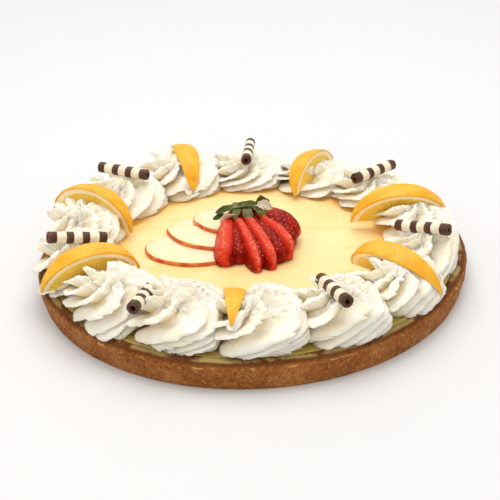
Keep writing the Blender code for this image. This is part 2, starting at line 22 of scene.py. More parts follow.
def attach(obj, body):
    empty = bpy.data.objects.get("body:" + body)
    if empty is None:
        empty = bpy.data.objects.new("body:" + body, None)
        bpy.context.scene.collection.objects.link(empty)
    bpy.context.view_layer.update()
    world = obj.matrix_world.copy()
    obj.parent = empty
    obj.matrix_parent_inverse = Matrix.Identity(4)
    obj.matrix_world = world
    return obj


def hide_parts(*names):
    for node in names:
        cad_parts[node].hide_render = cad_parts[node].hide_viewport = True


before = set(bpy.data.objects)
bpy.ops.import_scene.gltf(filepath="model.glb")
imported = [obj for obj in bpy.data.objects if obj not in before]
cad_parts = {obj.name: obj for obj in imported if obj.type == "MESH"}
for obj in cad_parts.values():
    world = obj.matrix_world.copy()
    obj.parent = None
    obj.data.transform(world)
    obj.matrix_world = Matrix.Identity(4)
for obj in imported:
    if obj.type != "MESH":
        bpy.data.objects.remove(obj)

MM = 0.001
WELD = 0.002 * MM
TURN = 2.0 * math.pi
UP = Vector((0.0, 0.0, 1.0))
SWAY_SEED = 1795526326
LOG = logging.getLogger("tart")

Colour = tuple[float, float, float]
Socket = bpy.types.NodeSocket
Source = Union[Socket, float, Sequence[float]]
Node = bpy.types.Node
Material = bpy.types.Material
Piece = bpy.types.Object
Body = bmesh.types.BMesh
Layer = bmesh.types.BMLayerItem
Shaper = Callable[[Vector], tuple[Vector, Vector]]


class Slot(Enum):
    """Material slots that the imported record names."""

    CRUST = "baked_crust"
    CUSTARD = "custard"
    CREAM = "whipped_cream"
    CITRUS = "citrus"
    CHOCOLATE = "chocolate"
    APPLE = "apple"
    STRAWBERRY = "strawberry"
    LEAF = "calyx_leaf"


# --- Numbers and curves ---

def ramp(value: float, zero_at: float, one_at: float) -> float:
    """Ease from 0 to 1 between two values.

    Args:
        value: number that is looked up.
        zero_at: value that gives 0.
        one_at: value that gives 1.

    Returns:
        The eased share, from 0 to 1.
    """
    share = (value - zero_at) / (one_at - zero_at)
    share = max(0.0, min(1.0, share))
    return share * share * (3.0 - 2.0 * share)


def blend(first: float, second: float, share: float) -> float:
    """Return the number that lies a share of the way to the second."""
    return first + (second - first) * share


def along_curve(points: Sequence[Sequence[float]],
                share: float) -> list[float]:
    """Read a smooth curve that runs through given points.

    Args:
        points: the points, each a sequence of the same length.
        share: place on the curve, 0 at its first point and 1 at its last.

    Returns:
        The point on the curve.
    """
    spans = len(points) - 1
    place = max(0.0, min(0.999999, share)) * spans
    index = int(place)
    t = place - index
    before = points[max(0, index - 1)]
    start = points[index]
    end = points[index + 1]
    after = points[min(spans, index + 2)]
    found = []
    for a, b, c, d in zip(before, start, end, after):
        curve = 2.0 * b + (c - a) * t
        curve += (2.0 * a - 5.0 * b + 4.0 * c - d) * t * t
        curve += (3.0 * b - a - 3.0 * c + d) * t * t * t
        found.append(curve / 2.0)
    return found


def bumps(point: Vector, size: float, seed: float) -> float:
    """Smooth random height of about -1 to 1.

    Args:
        point: place in metres.
        size: width of one bump in metres.
        seed: number that picks another field of bumps.

    Returns:
        The height at the point.
    """
    moved = point / size + Vector((seed * 7.31, seed * 3.17, seed * 5.77))
    return noise.noise(moved)


def crumbs(point: Vector, size: float, depth: int, seed: float) -> float:
    """Torn random height, sharp upwards, of about 0 to 1.

    Args:
        point: place in metres.
        size: width of the largest bump in metres.
        depth: how many finer layers are added.
        seed: number that picks another field.

    Returns:
        The height at the point.
    """
    moved = point / size + Vector((seed * 2.9, seed * 8.3, seed * 4.1))
    return noise.turbulence(moved, depth, True)


# --- Meshes ---

def ball(sides: int, rings: int) -> Body:
    """Start a piece from a closed unit sphere."""
    bm = bmesh.new()
    bmesh.ops.create_uvsphere(bm, u_segments=sides, v_segments=rings,
                              radius=1.0)
    return bm


def ball_place(co: Vector) -> tuple[float, float]:
    """Read where a vertex of the unit sphere lies.

    Args:
        co: position on the unit sphere.

    Returns:
        Angle around the Z axis in radians from 0, and the share of the way
        from the lower pole, 0, to the upper pole, 1.
    """
    around = math.atan2(co.y, co.x) % TURN
    share = 1.0 - math.acos(max(-1.0, min(1.0, co.z))) / math.pi
    return around, share


def turned(profile: Sequence[tuple[float, float]], steps: int) -> Body:
    """Spin a profile round the Z axis into a closed body.

    Args:
        profile: radius and height of each point, from pole to pole or
            back to the first point.
        steps: number of steps in the full turn.

    Returns:
        The spun body.
    """
    bm = bmesh.new()
    row = [bm.verts.new((radius, 0.0, height)) for radius, height in profile]
    edges = [bm.edges.new(pair) for pair in zip(row, row[1:])]
    bmesh.ops.spin(bm, geom=row + edges, cent=(0.0, 0.0, 0.0),
                   axis=(0.0, 0.0, 1.0), angle=TURN, steps=steps,
                   use_merge=True)
    bmesh.ops.remove_doubles(bm, verts=bm.verts, dist=WELD)
    bmesh.ops.recalc_face_normals(bm, faces=bm.faces)
    return bm


def reshape(bm: Body, mark: str, shape: Shaper) -> None:
    """Move every vertex of a body and mark it for its finish.

    Args:
        bm: the body.
        mark: name of the attribute that the finish reads.
        shape: gives the new place of a vertex, and its mark.
    """
    layer = bm.verts.layers.float_vector.new(mark)
    for vertex in bm.verts:
        place, value = shape(vertex.co)
        vertex.co = place
        vertex[layer] = value


def finished(bm: Body, name: str, materials: Sequence[Material]) -> Piece:
    """Turn a bmesh into a smooth object at the origin.

    Args:
        bm: the body, which is freed.
        name: name of the new object.
        materials: its material slots.

    Returns:
        The object, linked to the scene.
    """
    mesh = bpy.data.meshes.new(name)
    bm.to_mesh(mesh)
    bm.free()
    for material in materials:
        mesh.materials.append(material)
    mesh.shade_smooth()
    made = bpy.data.objects.new(name, mesh)
    bpy.context.scene.collection.objects.link(made)
    return made


def settle(piece: Piece, node: str) -> None:
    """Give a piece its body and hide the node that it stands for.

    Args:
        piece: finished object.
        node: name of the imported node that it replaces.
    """
    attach(piece, "root")
    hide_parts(node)
    LOG.info("%s: %d faces", piece.name, len(piece.data.polygons))


# --- Shader nodes ---

class Wiring:
    """Adds and joins the nodes of one node tree."""

    def __init__(self, tree: bpy.types.NodeTree) -> None:
        """Keep the tree that is wired."""
        self.tree = tree

    def add(self, kind: str, inputs: Optional[dict[object, Source]] = None,
            **settings: object) -> Node:
        """Add one node.

        Args:
            kind: type name of the node.
            inputs: what each input is fed, by its name or index.
            **settings: properties to set on the node.

        Returns:
            The new node.
        """
        made = self.tree.nodes.new(kind)
        for name, value in settings.items():
            setattr(made, name, value)
        for socket, source in (inputs or {}).items():
            self.feed(made, socket, source)
        return made

    def feed(self, node: Node, socket: object, source: Source) -> None:
        """Give an input a value or the output of another node.

        Args:
            node: node that is fed.
            socket: name or index of its input.
            source: an output socket, a number, or a tuple.
        """
        target = node.inputs[socket]
        if isinstance(source, Socket):
            self.tree.links.new(source, target)
        elif target.type == "RGBA" and len(source) == 3:
            target.default_value = (*source, 1.0)
        else:
            target.default_value = source

    def coordinates(self) -> Socket:
        """Return the Object coordinates."""
        return self.add("ShaderNodeTexCoord").outputs["Object"]

    def attribute(self, name: str) -> Socket:
        """Return the vector of a mesh attribute."""
        return self.add("ShaderNodeAttribute",
                        attribute_name=name).outputs["Vector"]

    def parts(self, vector: Socket) -> list[Socket]:
        """Return the X, Y and Z outputs of a vector."""
        return list(self.add("ShaderNodeSeparateXYZ", {0: vector}).outputs)

    def scaled(self, vector: Socket, scale: Sequence[float]) -> Socket:
        """Return a vector stretched by a scale for each axis."""
        return self.add("ShaderNodeMapping",
                        {"Vector": vector, "Scale": scale}).outputs[0]

    def noise(self, vector: Socket, scale: Source, detail: float = 2.0,
              rough: float = 0.5, warp: float = 0.0) -> Socket:
        """Add a noise texture.

        Args:
            vector: coordinates it reads.
            scale: bumps per unit of the coordinates.
            detail: number of finer layers.
            rough: weight of the finer layers.
            warp: how far the pattern is distorted.

        Returns:
            The noise value, about 0 to 1.
        """
        return self.add("ShaderNodeTexNoise", {
            "Vector": vector, "Scale": scale, "Detail": detail,
            "Roughness": rough, "Distortion": warp}).outputs[0]

    def cells(self, vector: Socket, scale: Source, feature: str = "F1",
              random_share: float = 1.0) -> Socket:
        """Add a Voronoi texture and return its distance output."""
        return self.add("ShaderNodeTexVoronoi", {
            "Vector": vector, "Scale": scale, "Randomness": random_share},
            feature=feature).outputs["Distance"]

    def math(self, operation: str, *values: Source,
             clamp: bool = False) -> Socket:
        """Add a Math node.

        Args:
            operation: its operation.
            *values: one to three inputs.
            clamp: keep the result from 0 to 1.

        Returns:
            The result.
        """
        return self.add("ShaderNodeMath", dict(enumerate(values)),
                        operation=operation, use_clamp=clamp).outputs[0]

    def times(self, first: Source, second: Source) -> Socket:
        """Return the product of two values."""
        return self.math("MULTIPLY", first, second)

    def between(self, value: Source, low: float, high: float,
                first: float = 0.0, last: float = 1.0) -> Socket:
        """Map a value smoothly from one range to another.

        Args:
            value: socket that is read.
            low: value that gives the first result.
            high: value that gives the last result.
            first: result at low.
            last: result at high.

        Returns:
            The mapped value, kept within the two results.
        """
        return self.add("ShaderNodeMapRange", {
            "Value": value, "From Min": low, "From Max": high,
            "To Min": first, "To Max": last},
            interpolation_type="SMOOTHSTEP").outputs[0]

    def mixed(self, share: Source, first: Source, second: Source) -> Socket:
        """Mix two colours.

        Args:
            share: weight of the second colour.
            first: first colour.
            second: second colour.

        Returns:
            The mixed colour.
        """
        return self.add("ShaderNodeMix", {0: share, 6: first, 7: second},
                        data_type="RGBA").outputs[2]

    def bump(self, height: Source, distance: float, strength: float = 1.0,
             normal: Optional[Socket] = None) -> Socket:
        """Add a Bump node.

        Args:
            height: socket of the height, 0 to 1.
            distance: depth of a full step in metres.
            strength: share of the effect.
            normal: normal of a bump below this one.

        Returns:
            The bent normal.
        """
        node = self.add("ShaderNodeBump", {
            "Height": height, "Distance": distance, "Strength": strength})
        if normal is not None:
            self.feed(node, "Normal", normal)
        return node.outputs[0]


class Effects:
    """Shader node groups that more than one finish uses."""

    def __init__(self) -> None:
        """Build both groups once."""
        self.speckle = self._speckle()
        self.grain = self._grain()

    @staticmethod
    def _new(name: str, inputs: Sequence[str],
             outputs: Sequence[str]) -> tuple[Wiring, Node, Node]:
        """Start a group with float sockets and a vector to read.

        Args:
            name: name of the group.
            inputs: name of each number it takes.
            outputs: name of each value it gives.

        Returns:
            The group's wiring, its input node and its output node.
        """
        group = bpy.data.node_groups.new(name, "ShaderNodeTree")
        face = group.interface
        face.new_socket("Vector", in_out="INPUT",
                        socket_type="NodeSocketVector")
        for side, labels in (("INPUT", inputs), ("OUTPUT", outputs)):
            for label in labels:
                face.new_socket(label, in_out=side,
                                socket_type="NodeSocketFloat")
        wire = Wiring(group)
        return wire, wire.add("NodeGroupInput"), wire.add("NodeGroupOutput")

    def _grain(self) -> bpy.types.NodeTree:
        """Fine food grain: a soft height and a blotchy mask."""
        wire, entry, leave = self._new(
            "food_grain", ("Scale", "Blotches"), ("Height", "Mask"))
        given = entry.outputs
        fine = wire.noise(given["Vector"], given["Scale"], 3.0, 0.6)
        broad = wire.noise(given["Vector"], given["Blotches"], 2.0, 0.5, 0.4)
        wire.feed(leave, "Height", fine)
        wire.feed(leave, "Mask", wire.between(broad, 0.35, 0.68))
        return wire.tree

    def _speckle(self) -> bpy.types.NodeTree:
        """Scattered round pits or dots with soft rims."""
        wire, entry, leave = self._new("food_speckle", ("Scale", "Size"),
                                       ("Mask",))
        given = entry.outputs
        cell = wire.cells(given["Vector"], given["Scale"])
        inside = wire.math("SUBTRACT", given["Size"], cell)
        share = wire.math("DIVIDE", inside, given["Size"], clamp=True)
        wire.feed(leave, "Mask", share)
        return wire.tree


class Surface(Wiring):
    """Wiring of one material, with its shader and the shared effects."""

    def __init__(self, material: Material, effects: Effects) -> None:
        """Find the shader of a new material and keep the effects."""
        super().__init__(material.node_tree)
        self.shader = material.node_tree.nodes["Principled BSDF"]
        self.effects = effects

    def set(self, label: str, source: Source) -> None:
        """Give an input of the shader a value or a node's output."""
        self.feed(self.shader, label, source)

    def grain(self, vector: Socket, scale: float,
              blotches: float) -> tuple[Socket, Socket]:
        """Place the grain group.

        Args:
            vector: coordinates that the grain reads.
            scale: fine grains per metre.
            blotches: blotches per metre.

        Returns:
            The height and the blotchy mask.
        """
        found = self.add("ShaderNodeGroup", {
            "Vector": vector, "Scale": scale, "Blotches": blotches},
            node_tree=self.effects.grain)
        return found.outputs["Height"], found.outputs["Mask"]

    def speckle(self, vector: Socket, scale: float, size: float) -> Socket:
        """Place the speckle group.

        Args:
            vector: coordinates that the dots read.
            scale: dots per unit.
            size: radius of a dot as a share of their distance.

        Returns:
            The mask, 1 in the middle of a dot.
        """
        found = self.add("ShaderNodeGroup", {
            "Vector": vector, "Scale": scale, "Size": size},
            node_tree=self.effects.speckle)
        return found.outputs["Mask"]


# --- Finishes ---

@dataclass(frozen=True)
class Finish:
    """A food surface: what is the same all over it.

    The colours and patterns that change over the surface come from the
    paint method of each kind of finish.
    """

    name: str
    roughness: float = 0.5
    subsurface: float = 0.0
    scatter: Colour = (1.0, 0.6, 0.3)
    scatter_depth: float = 2.0 * MM
    ior: float = 1.4
    coat: float = 0.0
    coat_roughness: float = 0.15
    specular: float = 0.5

    def build(self, effects: Effects) -> Material:
        """Make the material.

        Args:
            effects: shared node groups.

        Returns:
            The finished material.
        """
        material = bpy.data.materials.new(self.name)
        material.use_nodes = True
        surface = Surface(material, effects)
        for label, value in (
                ("Roughness", self.roughness),
                ("Subsurface Weight", self.subsurface),
                ("Subsurface Radius", self.scatter),
                ("Subsurface Scale", self.scatter_depth),
                ("IOR", self.ior), ("Coat Weight", self.coat),
                ("Coat Roughness", self.coat_roughness),
                ("Specular IOR Level", self.specular)):
            surface.set(label, value)
        self.paint(surface)
        return material

    def paint(self, wire: Surface) -> None:
        """Wire what changes over the surface; each finish has its own."""
        raise NotImplementedError


@dataclass(frozen=True)
class BakedCrust(Finish):
    """Brown shortcrust, sandy, with darker baked patches."""

    dark: Colour = (0.104, 0.027, 0.005)
    middle: Colour = (0.296, 0.094, 0.0175)
    light: Colour = (0.430, 0.159, 0.038)
    sandy: Colour = (0.610, 0.292, 0.090)
    glaze: Colour = (0.720, 0.440, 0.180)
    film: Colour = (0.520, 0.400, 0.160)
    crease_height: float = 15.6 * MM
    baked_height: float = 17.4 * MM
    rim_height: float = 19.0 * MM

    def paint(self, wire: Surface) -> None:
        """Wire the crust.

        Args:
            wire: wiring of the material's surface.
        """
        place = wire.coordinates()
        height, blotch = wire.grain(place, 900.0, 55.0)
        sand = wire.noise(place, 560.0, 5.0, 0.85)
        pale = wire.noise(place, 460.0, 4.0, 0.8, 0.4)
        pits = wire.speckle(place, 300.0, 0.34)
        base = wire.mixed(blotch, self.middle, self.light)
        base = wire.mixed(wire.between(sand, 0.50, 0.60, 0.0, 0.62), base,
                          self.dark)
        base = wire.mixed(wire.between(pale, 0.50, 0.62, 0.0, 0.55), base,
                          self.sandy)
        base = wire.mixed(wire.times(pits, 0.7), base, self.dark)
        depth = wire.parts(place)[2]
        under = wire.math("SUBTRACT", depth, self.crease_height)
        line = wire.math("ABSOLUTE", under)
        wander = wire.noise(place, 60.0, 3.0, 0.6)
        line = wire.math("ADD", line,
                         wire.math("MULTIPLY_ADD", wander, 3.0 * MM,
                                   -1.5 * MM))
        near = wire.between(line, 0.1 * MM, 0.5 * MM, 1.0, 0.0)
        patch = wire.between(wire.noise(place, 38.0, 3.0, 0.7), 0.54, 0.58)
        near = wire.times(near, patch)
        base = wire.mixed(wire.times(near, 0.6), base, self.glaze)
        baked = wire.between(depth, self.crease_height, self.baked_height,
                             0.0, 0.72)
        base = wire.mixed(baked, base, self.dark)
        spilt = wire.between(depth, self.rim_height - 1.1 * MM,
                             self.rim_height - 0.4 * MM, 0.0, 0.85)
        spilt = wire.times(spilt, wire.between(wander, 0.42, 0.54))
        base = wire.mixed(spilt, base, self.film)
        wire.set("Base Color", base)
        wire.set("Roughness",
                 wire.between(blotch, 0.0, 1.0, self.roughness, 0.55))
        normal = wire.bump(height, 0.5 * MM, 0.8)
        normal = wire.bump(pits, -0.5 * MM, 0.9, normal)
        wire.set("Normal", wire.bump(sand, 0.9 * MM, 0.9, normal))


@dataclass(frozen=True)
class SatinCustard(Finish):
    """Pale custard, orange towards the cream and olive at the rim, with a
    painted glint in soft blotches and painted shade on the olive ring under
    the cream.
    """

    # Colour of the painted glint.
    light: Colour = (1.0, 0.86, 0.56)
    middle: Colour = (0.940, 0.705, 0.335)
    front: Colour = (0.935, 0.615, 0.245)
    edge: Colour = (0.935, 0.580, 0.165)
    rim: Colour = (0.560, 0.440, 0.090)
    # Painted shade on the olive ring under the cream.
    rim_shade: Colour = (0.340, 0.250, 0.025)
    film: Colour = (0.700, 0.540, 0.270)

    def paint(self, wire: Surface) -> None:
        """Wire the custard.

        Args:
            wire: wiring of the material's surface.
        """
        place = wire.coordinates()
        x, y, _ = wire.parts(place)
        across = wire.times(x, x)
        reach = wire.math("ADD", across, wire.times(y, y))
        reach = wire.math("SQRT", reach)
        height, blotch = wire.grain(place, 120.0, 28.0)
        streak = wire.noise(wire.scaled(place, (25.0, 190.0, 60.0)), 1.0, 3.0,
                            0.6, 0.6)
        base = wire.mixed(wire.between(y, 0.02, -0.09), self.middle,
                          self.front)
        soft = wire.between(streak, 0.42, 0.66, 0.0, 0.60)
        base = wire.mixed(soft, base, self.front)
        # Painted glint: paler blotches of the light colour.
        base = wire.mixed(wire.between(blotch, 0.0, 1.0, 0.0, 0.18), base,
                          self.light)
        base = wire.mixed(wire.between(reach, 0.074, 0.092), base, self.edge)
        outside = wire.between(reach, 0.112, 0.122)
        # Olive glaze at the rim, with painted shade darkest at its inner edge
        # under the cream.
        olive_shaded = wire.mixed(wire.between(reach, 0.124, 0.1315), self.rim_shade,
                           self.rim)
        olive_shaded = wire.mixed(wire.between(blotch, 0.2, 0.9, 0.0, 0.6), olive_shaded,
                           self.rim)
        smear = wire.noise(wire.scaled(place, (60.0, 60.0, 60.0)), 1.0, 3.0,
                           0.6, 1.0)
        smear = wire.times(wire.between(smear, 0.46, 0.60),
                           wire.between(reach, 0.124, 0.130))
        olive_shaded = wire.mixed(wire.times(smear, 0.8), olive_shaded, self.film)
        base = wire.mixed(outside, base, olive_shaded)
        wire.set("Base Color", base)
        rough = wire.between(outside, 0.0, 1.0, self.roughness, 0.22)
        wire.set("Roughness", rough)
        normal = wire.bump(streak, 0.25 * MM, 0.6)
        wire.set("Normal", wire.bump(height, 0.2 * MM, 0.5, normal))


@dataclass(frozen=True)
class WhippedCream(Finish):
    """White cream with a faint yellow, a fine torn grain, and painted warm
    shade in its grooves, troughs and towards its foot.
    """

    light: Colour = (0.985, 0.940, 0.850)
    warm: Colour = (0.970, 0.860, 0.660)
    # Painted warm shade for the grooves and troughs.
    hollow_shade: Colour = (0.955, 0.740, 0.430)

    def paint(self, wire: Surface) -> None:
        """Wire the cream; its flow attribute runs along the ridges.

        Args:
            wire: wiring of the material's surface.
        """
        place = wire.coordinates()
        flow = wire.attribute("flow")
        ridge, along, torn = wire.parts(flow)
        height, blotch = wire.grain(place, 1250.0, 90.0)
        comb = wire.noise(wire.scaled(flow, (5.0, 105.0, 0.0)), 1.0, 2.0, 0.6)
        bubbles = wire.speckle(place, 620.0, 0.22)
        base = wire.mixed(wire.times(blotch, 0.55), self.light, self.warm)
        # Painted warm shade towards the foot of the rosette, where it meets
        # the custard.
        base = wire.mixed(wire.between(along, 0.30, 0.05, 0.0, 0.35), base,
                          self.warm)
        # Painted shade: the hollow shade colour fills each groove and the low
        # trough of each ridge, less on the torn crown.
        part = wire.math("FRACT", ridge)
        inner = wire.times(wire.between(part, 0.90, 1.0),
                           wire.between(torn, 0.9, 0.4))
        low = wire.between(part, 0.42, 0.0, 0.0, 0.62)
        inner = wire.math("MAXIMUM", inner,
                          wire.times(low, wire.between(torn, 0.9, 0.4)))
        base = wire.mixed(wire.times(inner, 0.8), base, self.hollow_shade)
        wire.set("Base Color", base)
        wire.set("Roughness",
                 wire.between(height, 0.3, 0.7, self.roughness, 0.62))
        normal = wire.bump(comb, 0.60 * MM, 0.8)
        normal = wire.bump(bubbles, -0.35 * MM, 0.5, normal)
        rough = wire.times(height, wire.between(torn, 0.0, 1.0, 0.5, 1.8))
        wire.set("Normal", wire.bump(rough, 0.42 * MM, 0.9, normal))


@dataclass(frozen=True)
class CitrusSlice(Finish):
    """Peel with pores, pale pith and juicy flesh, told by depth.

    The slice attribute holds the place inside the fruit: X along its
    poles and Y, Z across, each as a share of the fruit's half size.
    """

    peel: Colour = (0.860, 0.465, 0.029)
    peel_deep: Colour = (0.840, 0.385, 0.009)
    pith: Colour = (0.930, 0.800, 0.520)
    flesh: Colour = (0.900, 0.580, 0.060)
    juice: Colour = (0.950, 0.700, 0.130)
    membrane: Colour = (0.940, 0.780, 0.360)
    peel_from: float = 0.962
    pith_from: float = 0.858

    def paint(self, wire: Surface) -> None:
        """Wire the slice.

        Args:
            wire: wiring of the material's surface.
        """
        inside = wire.attribute("slice")
        place = wire.coordinates()
        depth = wire.add("ShaderNodeVectorMath", {0: inside},
                         operation="LENGTH").outputs["Value"]
        wobble = wire.noise(inside, 9.0, 2.0)
        wobble = wire.math("MULTIPLY_ADD", wobble, 0.03, -0.015)
        depth = wire.math("ADD", depth, wobble)
        x, y, z = wire.parts(inside)
        turn = wire.math("ARCTAN2", z, x)
        polar = wire.add("ShaderNodeCombineXYZ", {
            0: wire.times(turn, 8.0), 1: wire.times(depth, 2.4),
            2: wire.times(y, 9.0)}).outputs[0]
        sacs = wire.cells(polar, 1.0, "DISTANCE_TO_EDGE", 0.9)
        _, blotch = wire.grain(place, 500.0, 110.0)
        walls = wire.between(sacs, 0.0, 0.13, 0.75, 0.0)
        flesh = wire.mixed(wire.between(sacs, 0.05, 0.45), self.flesh,
                           self.juice)
        flesh = wire.mixed(wire.times(walls, 0.22), flesh, self.membrane)
        pores = wire.speckle(place, 640.0, 0.42)
        peel = wire.mixed(blotch, self.peel, self.peel_deep)
        peel = wire.mixed(wire.times(pores, 0.35), peel, self.peel_deep)
        in_pith = wire.between(depth, self.pith_from - 0.02,
                               self.pith_from + 0.012)
        in_peel = wire.between(depth, self.peel_from - 0.012,
                               self.peel_from + 0.008)
        base = wire.mixed(in_pith, flesh, self.pith)
        base = wire.mixed(in_peel, base, peel)
        wire.set("Base Color", base)
        rough = wire.between(in_pith, 0.0, 1.0, 0.22, 0.55)
        rough = wire.math("SUBTRACT", rough, wire.times(in_peel, 0.14))
        wire.set("Roughness", rough)
        dry = wire.math("SUBTRACT", 1.0, in_pith)
        swell = wire.times(wire.between(sacs, 0.0, 0.3), dry)
        normal = wire.bump(swell, 0.5 * MM, 0.8)
        dents = wire.times(pores, in_peel)
        wire.set("Normal", wire.bump(dents, -0.35 * MM, 1.0, normal))


@dataclass(frozen=True)
class BandedChocolate(Finish):
    """Dark rolls with pale bands, told by the band attribute.

    Its X is the place along the roll from 0 to 1, its Y is 1 on the
    outer wall and 0 in the bore and on the ends.
    """

    dark: Colour = (0.062, 0.021, 0.010)
    dark_worn: Colour = (0.110, 0.042, 0.024)
    pale: Colour = (0.880, 0.830, 0.690)
    pale_worn: Colour = (0.740, 0.620, 0.400)

    def paint(self, wire: Surface) -> None:
        """Wire the roll.

        Args:
            wire: wiring of the material's surface.
        """
        band = wire.attribute("band")
        place = wire.coordinates()
        along, wall, _ = wire.parts(band)
        height, blotch = wire.grain(place, 1500.0, 260.0)
        wave = wire.noise(place, 420.0, 2.0, 0.5)
        along = wire.math("ADD", along,
                          wire.math("MULTIPLY_ADD", wave, 0.024, -0.012))
        pale = wire.math("ABSOLUTE", wire.math("SUBTRACT", along, 0.5))
        first = wire.between(pale, 0.064, 0.078)
        first = wire.math("SUBTRACT", 1.0, first)
        side = wire.math("ABSOLUTE", wire.math("SUBTRACT", pale, 0.277))
        second = wire.between(side, 0.074, 0.086, 1.0, 0.0)
        light = wire.math("MAXIMUM", first, second)
        light = wire.times(light, wall)
        dark = wire.mixed(blotch, self.dark, self.dark_worn)
        cream = wire.mixed(wire.times(blotch, 0.6), self.pale, self.pale_worn)
        wire.set("Base Color", wire.mixed(light, dark, cream))
        wire.set("Roughness",
                 wire.between(height, 0.3, 0.75, self.roughness, 0.55))
        normal = wire.bump(light, 0.15 * MM, 0.6)
        wire.set("Normal", wire.bump(height, 0.15 * MM, 0.6, normal))


@dataclass(frozen=True)
class AppleFlesh(Finish):
    """Pale apple with a red skin, told by the rind attribute.

    Its X is 1 on the skin and 0 inside, its Y the share of the radius.
    """

    flesh: Colour = (0.900, 0.745, 0.520)
    moist: Colour = (0.880, 0.650, 0.330)
    skin: Colour = (0.620, 0.080, 0.014)
    skin_light: Colour = (0.780, 0.290, 0.060)
    skin_dark: Colour = (0.420, 0.030, 0.010)

    def paint(self, wire: Surface) -> None:
        """Wire the slice.

        Args:
            wire: wiring of the material's surface.
        """
        rind = wire.attribute("rind")
        place = wire.coordinates()
        skin, reach, _ = wire.parts(rind)
        height, blotch = wire.grain(place, 700.0, 90.0)
        base = wire.mixed(wire.between(reach, 0.78, 0.99, 0.0, 0.5),
                          self.flesh, self.moist)
        base = wire.mixed(wire.times(blotch, 0.22), base, self.moist)
        freckle = wire.speckle(place, 900.0, 0.25)
        red = wire.mixed(blotch, self.skin, self.skin_light)
        red = wire.mixed(wire.times(freckle, 0.4), red, self.skin_light)
        streak = wire.noise(wire.scaled(place, (90.0, 90.0, 12.0)), 1.0, 3.0)
        red = wire.mixed(wire.between(streak, 0.5, 0.7, 0.0, 0.8), red,
                         self.skin_dark)
        base = wire.mixed(wire.between(skin, 0.35, 0.6), base, red)
        wire.set("Base Color", base)
        wire.set("Roughness",
                 wire.between(skin, 0.3, 0.7, self.roughness, 0.25))
        wire.set("Normal", wire.bump(height, 0.12 * MM, 0.5))


@dataclass(frozen=True)
class GlossyStrawberry(Finish):
    """Wet strawberry flesh and skin, told by the cut attribute.

    Its X is 1 on skin and 0 on cut flesh, its Y is 1 on the crest of a slice,
    on the side that faces its light angle, and 0 in its flanks. The crest is
    painted lit, the flanks painted shaded, with pink painted highlights and
    sparkle along the crest.
    """

    skin: Colour = (0.190, 0.003, 0.002)
    skin_bright: Colour = (0.350, 0.009, 0.003)
    flesh: Colour = (0.520, 0.018, 0.007)
    # The crest colour is the painted lit side, the flank colour the painted
    # shaded side, pink the painted highlight.
    crest: Colour = (0.700, 0.050, 0.018)
    pink_highlight: Colour = (0.850, 0.300, 0.200)
    flank_shade: Colour = (0.240, 0.006, 0.003)

    def paint(self, wire: Surface) -> None:
        """Wire the berry.

        Args:
            wire: wiring of the material's surface.
        """
        cut = wire.attribute("cut")
        place = wire.coordinates()
        skin, crest, _ = wire.parts(cut)
        height, blotch = wire.grain(place, 800.0, 160.0)
        sparkle_speck = wire.speckle(place, 380.0, 0.27)
        # Painted light: crests that face each slice's light angle are painted
        # lit, the flanks painted shaded.
        flesh = wire.mixed(wire.between(crest, 0.25, 0.62), self.flank_shade,
                           self.flesh)
        ridge = wire.between(crest, 0.55, 0.95)
        ridge = wire.times(ridge, wire.between(blotch, 0.0, 1.0, 0.55, 1.0))
        flesh = wire.mixed(ridge, flesh, self.crest)
        # Painted highlights: a pink veil along the lit crest and pink sparkle
        # specks.
        fibre = wire.noise(place, 400.0, 4.0, 0.8, 0.8)
        highlight_veil = wire.times(wire.between(fibre, 0.50, 0.60),
                          wire.between(crest, 0.80, 0.99))
        flesh = wire.mixed(wire.times(highlight_veil, 0.60), flesh, self.pink_highlight)
        flesh = wire.mixed(wire.times(sparkle_speck, 0.65), flesh, self.pink_highlight)
        peel = wire.mixed(blotch, self.skin, self.skin_bright)
        base = wire.mixed(wire.between(skin, 0.3, 0.7), flesh, peel)
        wire.set("Base Color", base)
        wire.set("Roughness",
                 wire.between(height, 0.3, 0.75, self.roughness, 0.34))
        normal = wire.bump(sparkle_speck, 0.35 * MM, 0.9)
        normal = wire.bump(fibre, 0.40 * MM, 0.8, normal)
        wire.set("Normal", wire.bump(height, 0.30 * MM, 0.8, normal))


@dataclass(frozen=True)
class PaleSeed(Finish):
    """Yellow seeds of the strawberry."""

    light: Colour = (0.82, 0.46, 0.26)
    dark: Colour = (0.66, 0.24, 0.11)

    def paint(self, wire: Surface) -> None:
        """Wire the seeds.

        Args:
            wire: wiring of the material's surface.
        """
        height, blotch = wire.grain(wire.coordinates(), 3000.0, 420.0)
        wire.set("Base Color", wire.mixed(blotch, self.light, self.dark))
        wire.set("Normal", wire.bump(height, 0.08 * MM, 0.5))


